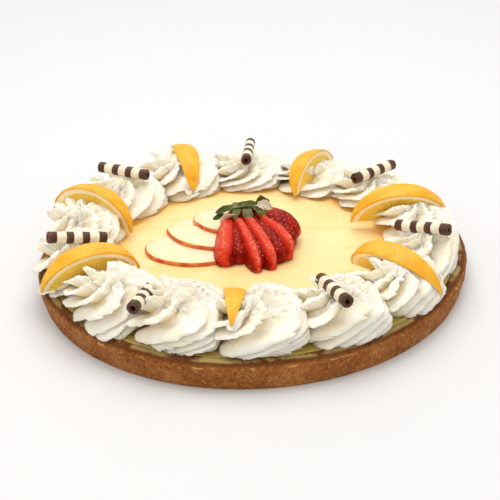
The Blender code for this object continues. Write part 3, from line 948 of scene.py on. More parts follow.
@dataclass(frozen=True)
class CalyxLeaf(Finish):
    """Green leaf with a paler midrib, told by the blade attribute.

    Its X runs from root to tip, its Y is 0 on the midrib and 1 at the
    margin, its Z is how pale the leaf is.
    """

    dark: Colour = (0.024, 0.036, 0.004)
    green: Colour = (0.085, 0.120, 0.010)
    grey: Colour = (0.190, 0.205, 0.040)
    pale: Colour = (0.640, 0.520, 0.400)

    def paint(self, wire: Surface) -> None:
        """Wire the leaf.

        Args:
            wire: wiring of the material's surface.
        """
        blade = wire.attribute("blade")
        along, margin, light = wire.parts(blade)
        height, blotch = wire.grain(wire.coordinates(), 1400.0, 300.0)
        veins = wire.math("MULTIPLY_ADD", margin, 0.8, along)
        veins = wire.math("SINE", wire.times(veins, 44.0))
        base = wire.mixed(blotch, self.dark, self.green)
        base = wire.mixed(wire.between(margin, 0.16, 0.03, 0.0, 0.55), base,
                          self.grey)
        base = wire.mixed(wire.between(margin, 0.75, 1.0, 0.0, 0.5), base,
                          self.grey)
        base = wire.mixed(wire.between(veins, 0.5, 1.0, 0.0, 0.18), base,
                          self.grey)
        base = wire.mixed(light, base, self.pale)
        wire.set("Base Color", base)
        normal = wire.bump(veins, 0.12 * MM, 0.4)
        wire.set("Normal", wire.bump(height, 0.15 * MM, 0.6, normal))


@dataclass(frozen=True)
class StudioFloor(Finish):
    """Plain pale floor of the studio."""

    white: Colour = (0.640, 0.655, 0.685)
    shade: float = 0.985
    lift: float = 0.11

    def paint(self, wire: Surface) -> None:
        """Wire the floor.

        Args:
            wire: wiring of the material's surface.
        """
        _, blotch = wire.grain(wire.coordinates(), 30.0, 3.0)
        shade = tuple(value * self.shade for value in self.white)
        wire.set("Base Color", wire.mixed(blotch, self.white, shade))
        wire.set("Emission Color", (1.0, 1.0, 1.0))
        wire.set("Emission Strength", self.lift)


@dataclass
class Finishes:
    """Every material of the tart, made once."""

    effects: Effects = field(default_factory=Effects)

    def __post_init__(self) -> None:
        """Build the materials."""
        make = self.effects
        self.crust = BakedCrust("baked_crust_fine", 0.8,
                                specular=0.22).build(make)
        self.custard = SatinCustard(
            "custard_satin", 0.38, 0.25, (1.0, 0.7, 0.3), 2.0 * MM).build(make)
        self.cream = WhippedCream(
            "whipped_cream_fine", 0.5, 0.60, (1.0, 0.74, 0.40),
            4.0 * MM, specular=0.35).build(make)
        self.citrus = CitrusSlice(
            "citrus_slice", 0.35, 0.20, (1.0, 0.6, 0.1), 1.5 * MM).build(make)
        self.chocolate = BandedChocolate("chocolate_banded", 0.38).build(make)
        self.apple = AppleFlesh(
            "apple_flesh", 0.32, 0.30, (1.0, 0.75, 0.4), 1.5 * MM).build(make)
        self.berry = GlossyStrawberry(
            "strawberry_glossy", 0.26, 0.08, (1.0, 0.15, 0.08), 1.5 * MM,
            ior=1.36, coat=0.03, coat_roughness=0.12,
            specular=0.18).build(make)
        self.seed = PaleSeed("strawberry_seed", 0.35).build(make)
        self.leaf = CalyxLeaf("calyx_leaf_fine", 0.5,
                              specular=0.25).build(make)
        self.floor = StudioFloor("studio_floor", 0.8).build(make)


# --- Crust and custard ---

@dataclass
class CrustShell:
    """Hand-pressed shortcrust shell with an uneven rim."""

    base_radius: float = 137.2 * MM
    crease_radius: float = 140.0 * MM
    crease_height: float = 15.6 * MM
    rim_radius: float = 134.6 * MM
    rim_height: float = 19.0 * MM
    inner_radius: float = 132.6 * MM
    floor: float = 5.0 * MM
    wobble: float = 0.8 * MM
    steps: int = 600

    def profile(self) -> list[tuple[float, float]]:
        """Return the outline of the wall in short steps."""
        corners = [
            (0.0, self.floor), (60.0 * MM, self.floor),
            (self.inner_radius - 3.0 * MM, self.floor),
            (self.inner_radius, self.floor + 3.0 * MM),
            (self.inner_radius, self.rim_height - 0.9 * MM),
            (self.inner_radius + 0.7 * MM, self.rim_height - 0.1 * MM),
            (self.rim_radius, self.rim_height),
            (self.rim_radius + 2.4 * MM, self.rim_height - 0.9 * MM),
            (self.crease_radius - 0.9 * MM, self.crease_height + 0.7 * MM),
            (self.crease_radius, self.crease_height - 0.3 * MM),
            (self.crease_radius - 0.5 * MM, self.crease_height - 5.5 * MM),
            (self.base_radius, 1.0 * MM), (self.base_radius - 1.0 * MM, 0.0),
            (60.0 * MM, 0.0), (0.0, 0.0)]
        points = [corners[0]]
        for start, end in zip(corners, corners[1:]):
            span = math.dist(start, end)
            wall = start[0] > self.inner_radius - 1.0 * MM
            inner = end[0] < self.inner_radius + 0.1 * MM
            seen = wall and not inner
            pieces = max(1, round(span / (0.7 * MM))) if seen else 1
            for step in range(1, pieces + 1):
                share = step / pieces
                points.append((blend(start[0], end[0], share),
                               blend(start[1], end[1], share)))
        return points

    def roughen(self, co: Vector) -> Vector:
        """Move one point of the wall as hands and the oven would.

        Args:
            co: place on the even wall.

        Returns:
            The moved place.
        """
        reach = math.hypot(co.x, co.y)
        if reach < self.inner_radius - 0.2 * MM or co.z < 0.3 * MM:
            return co
        angle = math.atan2(co.y, co.x)
        wave = math.sin(3.0 * angle + 0.6) * 0.45
        wave += math.sin(7.0 * angle + 2.1) * 0.35
        wave += math.sin(12.0 * angle + 4.0) * 0.2
        outer = ramp(reach, self.rim_radius - 1.0 * MM,
                     self.rim_radius + 2.0 * MM)
        grow = wave * self.wobble * 0.6 * outer
        broad = bumps(co, 11.0 * MM, 1.0)
        small = bumps(co, 2.6 * MM, 2.0)
        torn = crumbs(co, 5.0 * MM, 3, 3.0)
        top = ramp(co.z, self.crease_height - 1.5 * MM, self.rim_height)
        grow += (0.30 * broad + 0.16 * small) * MM * outer
        near_crease = 1.0 - min(1.0, abs(co.z - self.crease_height)
                                / (2.4 * MM))
        grow -= 0.55 * MM * torn * near_crease * outer
        lift = wave * self.wobble * 0.3
        lift += (0.35 * broad + 0.14 * small) * MM * top
        lift -= 0.45 * MM * torn * near_crease
        scale = 1.0 + grow / reach
        return Vector((co.x * scale, co.y * scale, co.z + lift))

    def build(self, material: Material) -> None:
        """Model the shell.

        Args:
            material: its finish.
        """
        bm = turned(self.profile(), self.steps)
        for vertex in bm.verts:
            vertex.co = self.roughen(vertex.co)
        shell = finished(bm, "crust_pressed", [material])
        settle(shell, "crust")


@dataclass
class CustardFilling:
    """Custard with a soft skin, spread up to the rim."""

    top: float = 19.0 * MM
    meniscus: float = 0.5 * MM
    wall: float = 132.1 * MM
    floor: float = 5.3 * MM
    steps: int = 360
    rings: int = 110

    def build(self, material: Material) -> None:
        """Model the filling.

        Args:
            material: its finish.
        """
        profile = [(self.wall * step / self.rings, self.top)
                   for step in range(self.rings + 1)]
        profile += [(self.wall, self.floor + 3.2 * MM),
                    (self.wall - 3.2 * MM, self.floor), (0.0, self.floor)]
        bm = turned(profile, self.steps)
        for vertex in bm.verts:
            if vertex.co.z > self.top - 1.0 * MM:
                vertex.co.z = self.level(vertex.co)
        filling = finished(bm, "custard_spread", [material])
        settle(filling, "filling")

    def level(self, co: Vector) -> float:
        """Height of the custard's skin at a point.

        Args:
            co: plan position.

        Returns:
            The height in metres.
        """
        reach = math.hypot(co.x, co.y)
        flat = Vector((co.x, co.y * 2.2, 0.0))
        wave = bumps(flat, 26.0 * MM, 5.0) * 0.16
        wave += bumps(flat, 8.0 * MM, 6.0) * 0.05
        sink = self.meniscus * ramp(reach, 92.0 * MM, self.wall - 4.0 * MM)
        climb = 0.35 * MM * ramp(reach, self.wall - 2.0 * MM, self.wall)
        return self.top - sink + climb + wave * MM


# --- Cream ---

@dataclass(frozen=True)
class Piping:
    """How the hand laid down one rosette.

    The feet are its ridges' ends: angle in degrees from the outward
    direction, and reach as a share of the rosette's radius.  The lean is
    the direction, from the outward one too, to which its crown is pulled.
    """

    feet: tuple[tuple[float, float], ...] = ()
    lean: Optional[float] = None
    pull: float = 2.5 * MM
    spread: float = 136.5 * MM
    climb: float = 106.0


@dataclass
class CreamRosette:
    """One piped rosette, swirled from its foot to its torn top."""

    number: int
    angle: float
    distance: float
    height: float
    before: float
    after: float
    piping: Piping
    fruits: list["CitrusWedge"]
    base: float = 19.15 * MM
    radial: float = 28.5 * MM
    tangential: float = 32.5 * MM
    groove: float = 0.38
    inward_twist: float = math.radians(26.0)
    rim_radius: float = 134.6 * MM
    droop: float = 0.36
    give: float = 0.4
    crest: float = 0.85
    even_ridges: float = 9.0
    broad: float = 0.8
    troughs: tuple[float, float] = (0.34, 0.52)
    valley: float = 0.94
    groove_drop: float = 15.0 * MM
    tear_share: float = 0.18
    widest_gap: float = 62.0
    thrown_gaps: tuple[float, float] = (24.0, 58.0)
    thrown_reaches: tuple[float, float] = (0.94, 1.06)
    sides: int = 288
    rings: int = 96

    outline = ((0.0, 0.0), (0.90, 0.0), (1.0, 0.11), (0.99, 0.30),
               (0.94, 0.52), (0.86, 0.72), (0.71, 0.88), (0.48, 0.96),
               (0.22, 0.99), (0.0, 1.0))

    def __post_init__(self) -> None:
        """Throw the dice of this rosette and fill its tables."""
        dice = random.Random(100 + self.number)
        feet = self.all_feet(dice)
        self.ends = [angle for angle, _ in feet]
        self.reaches = [reach for _, reach in feet]
        count = len(feet)
        self.lean = dice.uniform(0.0, 360.0)
        if self.piping.lean is not None:
            self.lean = self.piping.lean
        self.depths = [dice.uniform(0.8, 1.3) for _ in range(count)]
        self.ropes = [
            dice.uniform(0.45, 1.0) if self.width(index) < self.broad
            else 1.0 for index in range(count)]
        self.rags = [dice.choice((0.35, 0.8, 1.2)) for _ in range(count)]
        self.tear = self.tear_share * self.height * MM
        self.climb = math.radians(self.piping.climb)
        self.middle = self.heading(self.angle) * self.distance * MM
        self.columns = [self.column(TURN * side / self.sides)
                        for side in range(self.sides)]
        self.levels = [self.level(ring / self.rings)
                       for ring in range(self.rings + 1)]
        seed = float(self.number)
        self.teeth = [[self.tooth(index, ring, seed)
                       for ring in range(self.rings + 1)]
                      for index in range(count)]

    def all_feet(self, dice: random.Random) -> list[tuple[float, float]]:
        """Complete the known feet to a full turn with thrown ones.

        Args:
            dice: this rosette's dice.

        Returns:
            Angle in radians from 0 to a full turn, and reach, of each
            ridge's end, in order.
        """
        feet = list(self.piping.feet)
        if not feet:
            feet = [(dice.uniform(0.0, 40.0), 1.0)]
        stop = feet[0][0] + 360.0
        while stop - feet[-1][0] > self.widest_gap:
            feet.append((feet[-1][0] + dice.uniform(*self.thrown_gaps),
                         dice.uniform(*self.thrown_reaches)))
        return sorted((math.radians(angle) % TURN, reach)
                      for angle, reach in feet)

    def width(self, index: int) -> float:
        """Return the angle that a ridge takes at the foot, in radians."""
        return (self.ends[index] - self.ends[index - 1]) % TURN

    @staticmethod
    def heading(angle: float) -> Vector:
        """Return the plan direction of an angle in degrees."""
        return Vector((math.cos(math.radians(angle)),
                       math.sin(math.radians(angle))))

    def column(self, around: float) -> tuple[
            int, float, float, float, float, float]:
        """Describe the ridge that a column of vertices belongs to.

        Args:
            around: angle of the column in radians.

        Returns:
            Index of the ridge, share of the way across it, how far out
            it stands from 0 to 1, its forward lean in radians, the depth
            of its groove, and its reach at the foot.
        """
        count = len(self.ends)
        index = 0
        while index < count and self.ends[index] < around:
            index += 1
        index %= count
        end = self.ends[index]
        width = self.width(index)
        part = 1.0 - ((end - around) % TURN) / width
        if part < self.crest:
            share = part / self.crest
            full = math.sin(share * math.pi / 2.0) ** 0.9
            trough = self.troughs[width > self.broad]
            step = 0.20 * share + 0.80 * ramp(share, trough, 0.88)
            stand = blend(full, step, self.ropes[index])
        else:
            fall = (part - self.crest) / (1.0 - self.crest)
            stand = math.cos(fall * math.pi / 2.0)
        even = TURN / self.even_ridges
        depth = self.groove * self.depths[index]
        depth *= 0.40 + 0.60 * min(1.4, width / even)
        following = self.reaches[(index + 1) % count]
        own = self.reaches[index]
        beside = self.reaches[index - 1] if part < self.crest else following
        valley = min(own, beside) * self.valley
        reach = blend(valley, own, stand)
        return index, part, stand, 0.32 * width * stand ** 3, depth, reach

    def level(self, share: float) -> tuple[float, float]:
        """Read the rosette's outline at a share of the way up.

        Args:
            share: 0 at the middle of the foot, 1 at the top.

        Returns:
            Share of the radius and share of the height.
        """
        foot = 0.05
        if share <= foot:
            return 0.90 * share / foot, 0.0
        climb = (share - foot) / (1.0 - foot)
        reach, rise = along_curve(self.outline[1:], climb)
        return max(0.0, reach), max(0.0, min(1.0, rise))

    def split(self, point: Vector, angle: float, side: float) -> Vector:
        """Press a point back where it meets the next rosette.

        Args:
            point: plan position.
            angle: angle of the dividing plane in degrees.
            side: 1 if the neighbour lies counter-clockwise, else -1.

        Returns:
            The pressed plan position.
        """
        ahead = self.heading(angle)
        normal = Vector((-ahead.y, ahead.x)) * side
        reach = normal.dot(point)
        if reach <= 0.0:
            return point
        start = normal.dot(self.middle)
        share = (0.30 * reach - start) / (reach - start)
        return self.middle + (point - self.middle) * share

    def hold_back(self, point: Vector) -> Vector:
        """Let the cream yield where it would spread past the rim."""
        radius = point.length
        spread = self.piping.spread
        if radius <= spread:
            return point
        kept = spread + (radius - spread) * self.give
        return point * (kept / radius)

    @staticmethod
    def tooth(index: int, ring: int, seed: float) -> float:
        """Ragged steps along the edge of a ridge, about -1 to 1."""
        row = index * 3.7 + seed
        fine = noise.noise(Vector((row, ring * 0.46, seed)))
        broad = noise.noise(Vector((row, ring * 0.17, seed + 4.0)))
        return fine + 0.8 * broad

    def crown(self, sample: Vector, seed: float) -> float:
        """Torn height of the crown, with sharp crests, about -1 to 1."""
        broad = 0.62 - crumbs(sample, 10.0 * MM, 1, seed) * 1.6
        middle = 0.5 - abs(bumps(sample, 3.4 * MM, seed + 2.0)) * 2.2
        grains = bumps(sample, 1.3 * MM, seed + 3.0)
        return 0.50 * broad + 0.34 * middle + 0.20 * grains

    def shape(self, co: Vector) -> tuple[Vector, Vector]:
        """Place one vertex of the rosette.

        Args:
            co: position on the unit sphere.

        Returns:
            Its place, and its flow: ridge, share of the way up, tear.
        """
        around, share = ball_place(co)
        side = round(around / TURN * self.sides) % self.sides
        ring = round(share * self.rings)
        index, part, stand, forward, groove, own = self.columns[side]
        reach, rise = self.levels[ring]
        seed = float(self.number)
        low = ramp(rise, 0.75, 0.05)
        crest = 1.0 - groove * ramp(reach, 0.05, 0.5) * (1.0 - stand)
        crest *= 1.0 + (own - 1.0) * low
        edge = math.exp(-((part - self.crest) / 0.10) ** 2)
        rag = self.rags[index] * edge
        teeth = self.teeth[index][ring]
        turn = around + forward * ramp(rise, 1.0, 0.6)
        turn += rag * teeth * 0.075
        turn += self.climb * rise ** 0.9
        turn += self.inward_twist * (1.0 - reach)
        ahead, aside = math.cos(turn), math.sin(turn)
        sample = Vector((ahead * reach, aside * reach, rise)) * self.radial
        crest += rag * (0.060 * teeth + 0.012)
        crest += bumps(sample, 11.0 * MM, seed) * 0.050
        crest += bumps(sample, 2.4 * MM, seed + 0.5) * 0.016
        square = abs(ahead) ** 2.5 + abs(aside) ** 2.5
        crest *= blend(1.0, square ** -0.4, 0.8)
        out = self.heading(self.angle)
        across = Vector((-out.y, out.x))
        point = self.middle + out * (ahead * self.radial * reach * crest)
        point += across * (aside * self.tangential * reach * crest)
        leaning = self.heading(self.angle + self.lean)
        point += leaning * rise * rise * self.piping.pull
        sway = noise.noise_vector(sample / (13.0 * MM) + UP * seed)
        point += Vector((sway.x, sway.y)) * 2.0 * MM * ramp(rise, 0.0, 0.3)
        point = self.split(point, self.before, -1.0)
        point = self.split(point, self.after, 1.0)
        point = self.hold_back(point)
        torn = ramp(reach, 0.86, 0.58)
        height = self.base + self.height * MM * rise
        if ring >= 3:
            hang = max(0.0, point.length - self.rim_radius) * self.droop
            height -= hang * (1.0 - rise)
        grooves = ramp(rise, 0.30, 0.80) * ramp(reach, 0.02, 0.35)
        height -= self.groove_drop * groove * (1.0 - stand) * grooves
        height += rag * teeth * 0.8 * MM * ramp(rise, 0.02, 0.15)
        if torn > 0.0:
            offset = (point - self.middle).dot(leaning) / self.radial
            height += torn * offset * 3.0 * MM
            height += torn * self.crown(sample, seed) * self.tear
            drag = noise.noise_vector(sample / (3.4 * MM) + UP * seed)
            point += Vector((drag.x, drag.y)) * torn * 1.6 * MM
        place = Vector((point.x, point.y, height))
        for fruit in self.fruits:
            place = fruit.make_room(place)
        return place, Vector((index + part, share, max(torn, 0.6 * edge)))

    def build(self, material: Material) -> None:
        """Model the rosette.

        Args:
            material: its finish.
        """
        bm = ball(self.sides, self.rings)
        reshape(bm, "flow", self.shape)
        rosette = finished(bm, f"cream_swirl_{self.number:02d}", [material])
        settle(rosette, f"cream_rosette_{self.number:02d}")


@dataclass
class CreamRing:
    """The ring of fourteen rosettes: angle, distance and height of each.

    A wedge whose middle is within the press distance of a rosette's, all
    in millimetres, is pressed into it.
    """

    places: tuple[tuple[float, float, float], ...] = (
        (222.0, 112.0, 25.5), (247.5, 109.0, 27.0), (272.5, 110.5, 26.5),
        (295.0, 111.5, 26.0), (317.0, 112.5, 25.5), (341.0, 114.0, 25.0),
        (8.0, 113.0, 19.5), (36.0, 109.0, 16.5), (63.0, 107.0, 16.0),
        (90.0, 108.0, 15.0), (117.0, 109.0, 22.5), (143.0, 111.0, 22.5),
        (169.0, 114.0, 23.5), (195.0, 115.0, 24.5))
    press: float = 65.0
    pipings: dict[int, Piping] = field(default_factory=lambda: {
        1: Piping(((-31.0, 0.92), (6.0, 1.02), (27.0, 1.12), (50.0, 1.20),
                   (84.0, 1.05)), 20.0, spread=141.0 * MM),
        2: Piping(((-116.0, 1.0), (-57.0, 0.94), (-24.0, 0.92),
                   (-3.0, 0.97), (12.0, 1.02), (30.0, 0.96), (48.0, 0.98),
                   (92.0, 1.0)), -60.0, 3.5 * MM, climb=138.0),
        3: Piping(((-126.0, 1.0), (-66.0, 0.98), (-36.0, 0.94),
                   (-12.0, 0.88), (6.0, 0.88), (22.0, 0.85), (44.0, 0.86),
                   (88.0, 1.0)), -80.0, 5.0 * MM, climb=148.0),
        4: Piping(((-138.0, 1.0), (-84.0, 0.86), (-50.0, 0.97),
                   (-22.0, 0.97), (-2.0, 1.04), (20.0, 1.02), (40.0, 1.05),
                   (70.0, 1.08)), -30.0, climb=124.0),
        5: Piping(((-45.0, 0.68), (-24.0, 0.86), (-3.0, 1.03),
                   (30.0, 1.10), (80.0, 1.0)), 30.0),
        6: Piping(((-34.0, 0.66), (-14.0, 0.80), (33.0, 0.90),
                   (60.0, 1.05)), 0.0, 1.0 * MM, 133.0 * MM),
        7: Piping((), 180.0, 2.0 * MM, 133.0 * MM),
        11: Piping((), 63.0, 4.0 * MM),
        13: Piping((), 50.0, 5.0 * MM, 133.0 * MM),
        14: Piping((), 0.0, 2.0 * MM, 142.0 * MM),
    })

    def build(self, material: Material,
              fruits: Sequence["CitrusWedge"]) -> None:
        """Model every rosette.

        Args:
            material: their finish.
            fruits: wedges that are pressed into the cream.
        """
        count = len(self.places)
        for index, (angle, distance, height) in enumerate(self.places):
            last = self.places[index - 1][0]
            following = self.places[(index + 1) % count][0]
            before = last + ((angle - last) % 360.0) / 2.0
            after = angle + ((following - angle) % 360.0) / 2.0
            middle = CreamRosette.heading(angle) * distance
            near = [fruit for fruit in fruits if math.dist(
                middle, fruit.middle[:2]) < self.press]
            piping = self.pipings.get(index + 1, Piping())
            CreamRosette(index + 1, angle, distance, height, before, after,
                         piping, near).build(material)


# --- Citrus wedges ---

@dataclass
class CitrusWedge:
    """One wedge of fruit, cut from pole to pole, lying peel up."""

    number: int
    middle: Sequence[float]
    yaw: float
    pitch: float
    lean: float
    opening: float
    half_length: float
    radius: float
    core: float = 2.5 * MM
    ground: float = 19.35 * MM
    corner: float = 0.045
    upright: float = 25.0
    sides: int = 132
    rings: int = 120

    def __post_init__(self) -> None:
        """Keep the way out of the wedge's own frame and into it."""
        turn = Matrix.Rotation(math.radians(self.yaw), 4, "Z")
        tilt = Matrix.Rotation(-math.radians(self.pitch), 4, "Y")
        roll = Matrix.Rotation(-math.radians(self.lean), 4, "X")
        shift = Matrix.Translation(Vector(self.middle) * MM)
        self.outward = shift @ turn @ tilt @ roll
        self.inward = self.outward.inverted()

    def make_room(self, place: Vector) -> Vector:
        """Press cream that lies over the peel down below it.

        Args:
            place: a point of the cream.

        Returns:
            The point, pressed where the wedge lies.
        """
        found = self.inward @ place
        past = max(0.0, abs(found.x) - 0.97 * self.half_length)
        half = math.radians(self.opening) / 2.0
        beside = abs(found.y) * math.cos(half) - found.z * math.sin(half)
        slope, reach = 1.5, 9.0 * MM
        if self.pitch > self.upright:
            slope, reach = 2.6, 5.0 * MM
            past *= 0.10
        away = past + max(0.0, beside - 0.3 * MM)
        if found.z <= 0.0 or away > reach:
            return place
        along = min(1.0, abs(found.x) / self.half_length)
        limit = 0.92 * self.radius * (1.0 - along * along) ** 0.47
        limit += slope * away
        if found.z <= limit:
            return place
        kept = ramp(away, 0.25 * reach, reach)
        found.z = limit + (found.z - limit) * kept
        return self.outward @ found

    def section(self, share: float) -> tuple[float, float]:
        """Walk once round the wedge's cross-section of unit radius.

        Args:
            share: place on the walk from 0 to 1, from the core.

        Returns:
            Y and Z of the place, the peel lying at radius 1.
        """
        half = math.radians(self.opening) / 2.0
        side = 0.40
        if share < side:
            turn, reach = half, share / side
        elif share > 1.0 - side:
            turn, reach = -half, (1.0 - share) / side
        else:
            turn = blend(half, -half, (share - side) / (1.0 - 2.0 * side))
            reach = 1.0
        swell = 1.0
        if reach < 1.0:
            swell = 1.0 - 0.02 * math.sin(math.pi * reach)
        edge = ramp(abs(turn), half * 0.86, half)
        near = ramp(reach, 0.93, 1.0)
        reach -= self.corner * 0.35 * edge * near
        turn *= swell
        return math.sin(turn) * reach, math.cos(turn) * reach

    def shape(self, co: Vector) -> tuple[Vector, Vector]:
        """Place one vertex of the wedge.

        Args:
            co: position on the unit sphere, its poles the fruit's poles.

        Returns:
            Its place, and its place in the fruit as a share of the half
            sizes.
        """
        around, share = ball_place(co)
        pole = math.pi * share
        y, z = self.section(around / TURN)
        round_end = math.sin(pole) ** 0.94
        x = -math.cos(pole)
        inside = Vector((x, y * round_end, z * round_end))
        place = Vector((x * self.half_length, inside.y * self.radius,
                        max(self.core, inside.z * self.radius)))
        depth = inside.length
        seed = float(self.number)
        flesh = ramp(depth, 0.89, 0.83)
        sac = bumps(Vector((math.atan2(z, x) * 9.0, depth * 3.0, y * 4.0)),
                    1.0, seed)
        rind = ramp(depth, 0.97, 0.99)
        push = flesh * (sac * 0.30 - 0.25) + rind * (
            bumps(place, 6.0 * MM, seed) * 0.25
            + bumps(place, 1.6 * MM, seed) * 0.07)
        toward = Vector((0.0, math.copysign(1.0, y) if abs(y) > 1e-6 else 0.0,
                         0.0))
        if rind > 0.5:
            toward = inside.normalized()
        place = self.outward @ (place + toward * push * MM)
        place.z = max(place.z, self.ground)
        return place, inside

    def build(self, material: Material) -> None:
        """Model the wedge.

        Args:
            material: its finish.
        """
        bm = ball(self.sides, self.rings)
        reshape(bm, "slice", self.shape)
        bmesh.ops.remove_doubles(bm, verts=bm.verts, dist=WELD)
        bmesh.ops.recalc_face_normals(bm, faces=bm.faces)
        wedge = finished(bm, f"citrus_slice_{self.number}", [material])
        settle(wedge, f"citrus_wedge_{self.number}")


@dataclass
class CitrusSet:
    """The seven wedges: middle, yaw, pitch, lean, opening and size."""

    places: tuple[tuple[float, ...], ...] = (
        (-47.9, 103.4, 20.9, 104.1, 1.8, -6.9, 36.9, 0.93),
        (48.7, 88.0, 20.8, 56.5, 0.6, 17.7, 35.3, 0.87),
        (99.8, 21.5, 21.5, 3.4, 0.0, -11.6, 29.0, 1.0),
        (88.3, -59.1, 21.6, 318.5, 0.0, -18.0, 29.0, 1.0),
        (-13.5, -106.1, 20.0, 270.7, 31.8, 7.5, 30.7, 0.91),
        (-100.0, -51.3, 23.0, 207.7, 5.0, 6.2, 29.0, 1.0),
        (-107.9, 33.5, 22.4, 148.8, 2.0, -10.4, 29.0, 1.0))
    half_length: float = 33.0 * MM
    radius: float = 28.0 * MM

    def wedges(self) -> list[CitrusWedge]:
        """Return every wedge, not yet modelled."""
        return [CitrusWedge(index + 1, middle, *turns,
                            self.half_length * size, self.radius * size)
                for index, (middle, turns, size) in enumerate(
                    (row[:3], row[3:7], row[7]) for row in self.places)]

    def build(self, material: Material) -> None:
        """Model every wedge.

        Args:
            material: their finish.
        """
        for wedge in self.wedges():
            wedge.build(material)


# --- Chocolate rolls ---

@dataclass
class ChocolateRoll:
    """A thin sheet of striped chocolate, rolled up round a bore."""

    number: int
    middle: Sequence[float]
    yaw: float
    pitch: float
    radius: float = 3.8 * MM
    bore: float = 1.6 * MM
    length: float = 38.0 * MM
    seam: float = 0.45 * MM
    lip: float = 1.3 * MM
    edge: float = 0.35 * MM
    rows: int = 56
    bore_rows: int = 12
    steps: int = 72

    def __post_init__(self) -> None:
        """Place the roll's own frame, its Z axis along the roll."""
        turn = Matrix.Rotation(math.radians(self.yaw), 4, "Z")
        lay = Matrix.Rotation(math.radians(90.0 - self.pitch), 4, "Y")
        shift = Matrix.Translation(Vector(self.middle) * MM)
        self.outward = shift @ turn @ lay

    def profile(self) -> list[tuple[float, float]]:
        """Return the wall's outline, walked once round."""
        half, edge = self.length / 2.0, self.edge
        points = []
        for step in range(self.rows + 1):
            height = blend(-half + edge, half - edge, step / self.rows)
            points.append((self.radius, height))
        points += [(self.radius - edge * 0.3, half - edge * 0.3),
                   (self.radius - edge, half), (self.radius - self.lip, half),
                   (self.bore + edge, half), (self.bore, half - edge)]
        for step in range(1, self.bore_rows):
            height = blend(half - edge, edge - half, step / self.bore_rows)
            points.append((self.bore, height))
        points += [(self.bore, edge - half), (self.bore + edge, -half),
                   (self.radius - self.lip, -half),
                   (self.radius - edge, -half),
                   (self.radius - edge * 0.3, edge * 0.3 - half),
                   (self.radius, edge - half)]
        return points

    def shape(self, co: Vector) -> tuple[Vector, Vector]:
        """Move one vertex of the even tube.

        Args:
            co: place on the tube.

        Returns:
            Its place, and its band: share of the way along, outer wall.
        """
        reach = math.hypot(co.x, co.y)
        turn = (math.atan2(co.y, co.x) + self.number * 1.3) % TURN
        outer = ramp(reach, self.radius - 0.9 * MM, self.radius - 0.1 * MM)
        seam = self.seam * (turn / TURN) ** 3 * outer
        seed = float(self.number)
        soft = bumps(co, 7.0 * MM, seed) * 0.16 * outer
        soft += bumps(co, 1.8 * MM, seed) * 0.06
        end = abs(co.z) / (self.length / 2.0)
        chip = ramp(end, 0.93, 1.0) * crumbs(co, 3.2 * MM, 2, seed)
        grow = (reach - seam + (soft - 0.25 * chip) * MM) / reach
        place = Vector((co.x * grow, co.y * grow, co.z))
        place.z -= math.copysign(0.5 * MM, co.z) * chip
        if reach < self.bore + 0.5 * MM:
            place.x += 0.25 * MM
        along = co.z / self.length + 0.5
        return self.outward @ place, Vector((along, outer, 0.0))

    def build(self, material: Material) -> None:
        """Model the roll.

        Args:
            material: its finish.
        """
        bm = turned(self.profile(), self.steps)
        reshape(bm, "band", self.shape)
        bmesh.ops.recalc_face_normals(bm, faces=bm.faces)
        roll = finished(bm, f"chocolate_banded_{self.number}", [material])
        settle(roll, f"chocolate_roll_{self.number}")


@dataclass
class RollSet:
    """The seven rolls: middle, yaw and pitch of each."""

    places: tuple[tuple[float, ...], ...] = (
        (-108.4, -31.5, 46.9, 200.9, 13.0), (-87.3, 69.9, 45.5, 156.5, 1.7),
        (0.5, 107.8, 40.0, 84.1, -3.0), (87.4, 62.1, 40.6, 38.7, -1.2),
        (106.7, -37.5, 47.0, 320.6, 11.4), (45.7, -109.3, 47.0, 289.7, 7.1),
        (-63.1, -105.6, 45.0, 257.2, 11.4))

    def build(self, material: Material) -> None:
        """Model every roll.

        Args:
            material: their finish.
        """
        for index, (*middle, yaw, pitch) in enumerate(self.places):
            ChocolateRoll(index + 1, middle, yaw, pitch).build(material)


# --- Apple slices ---

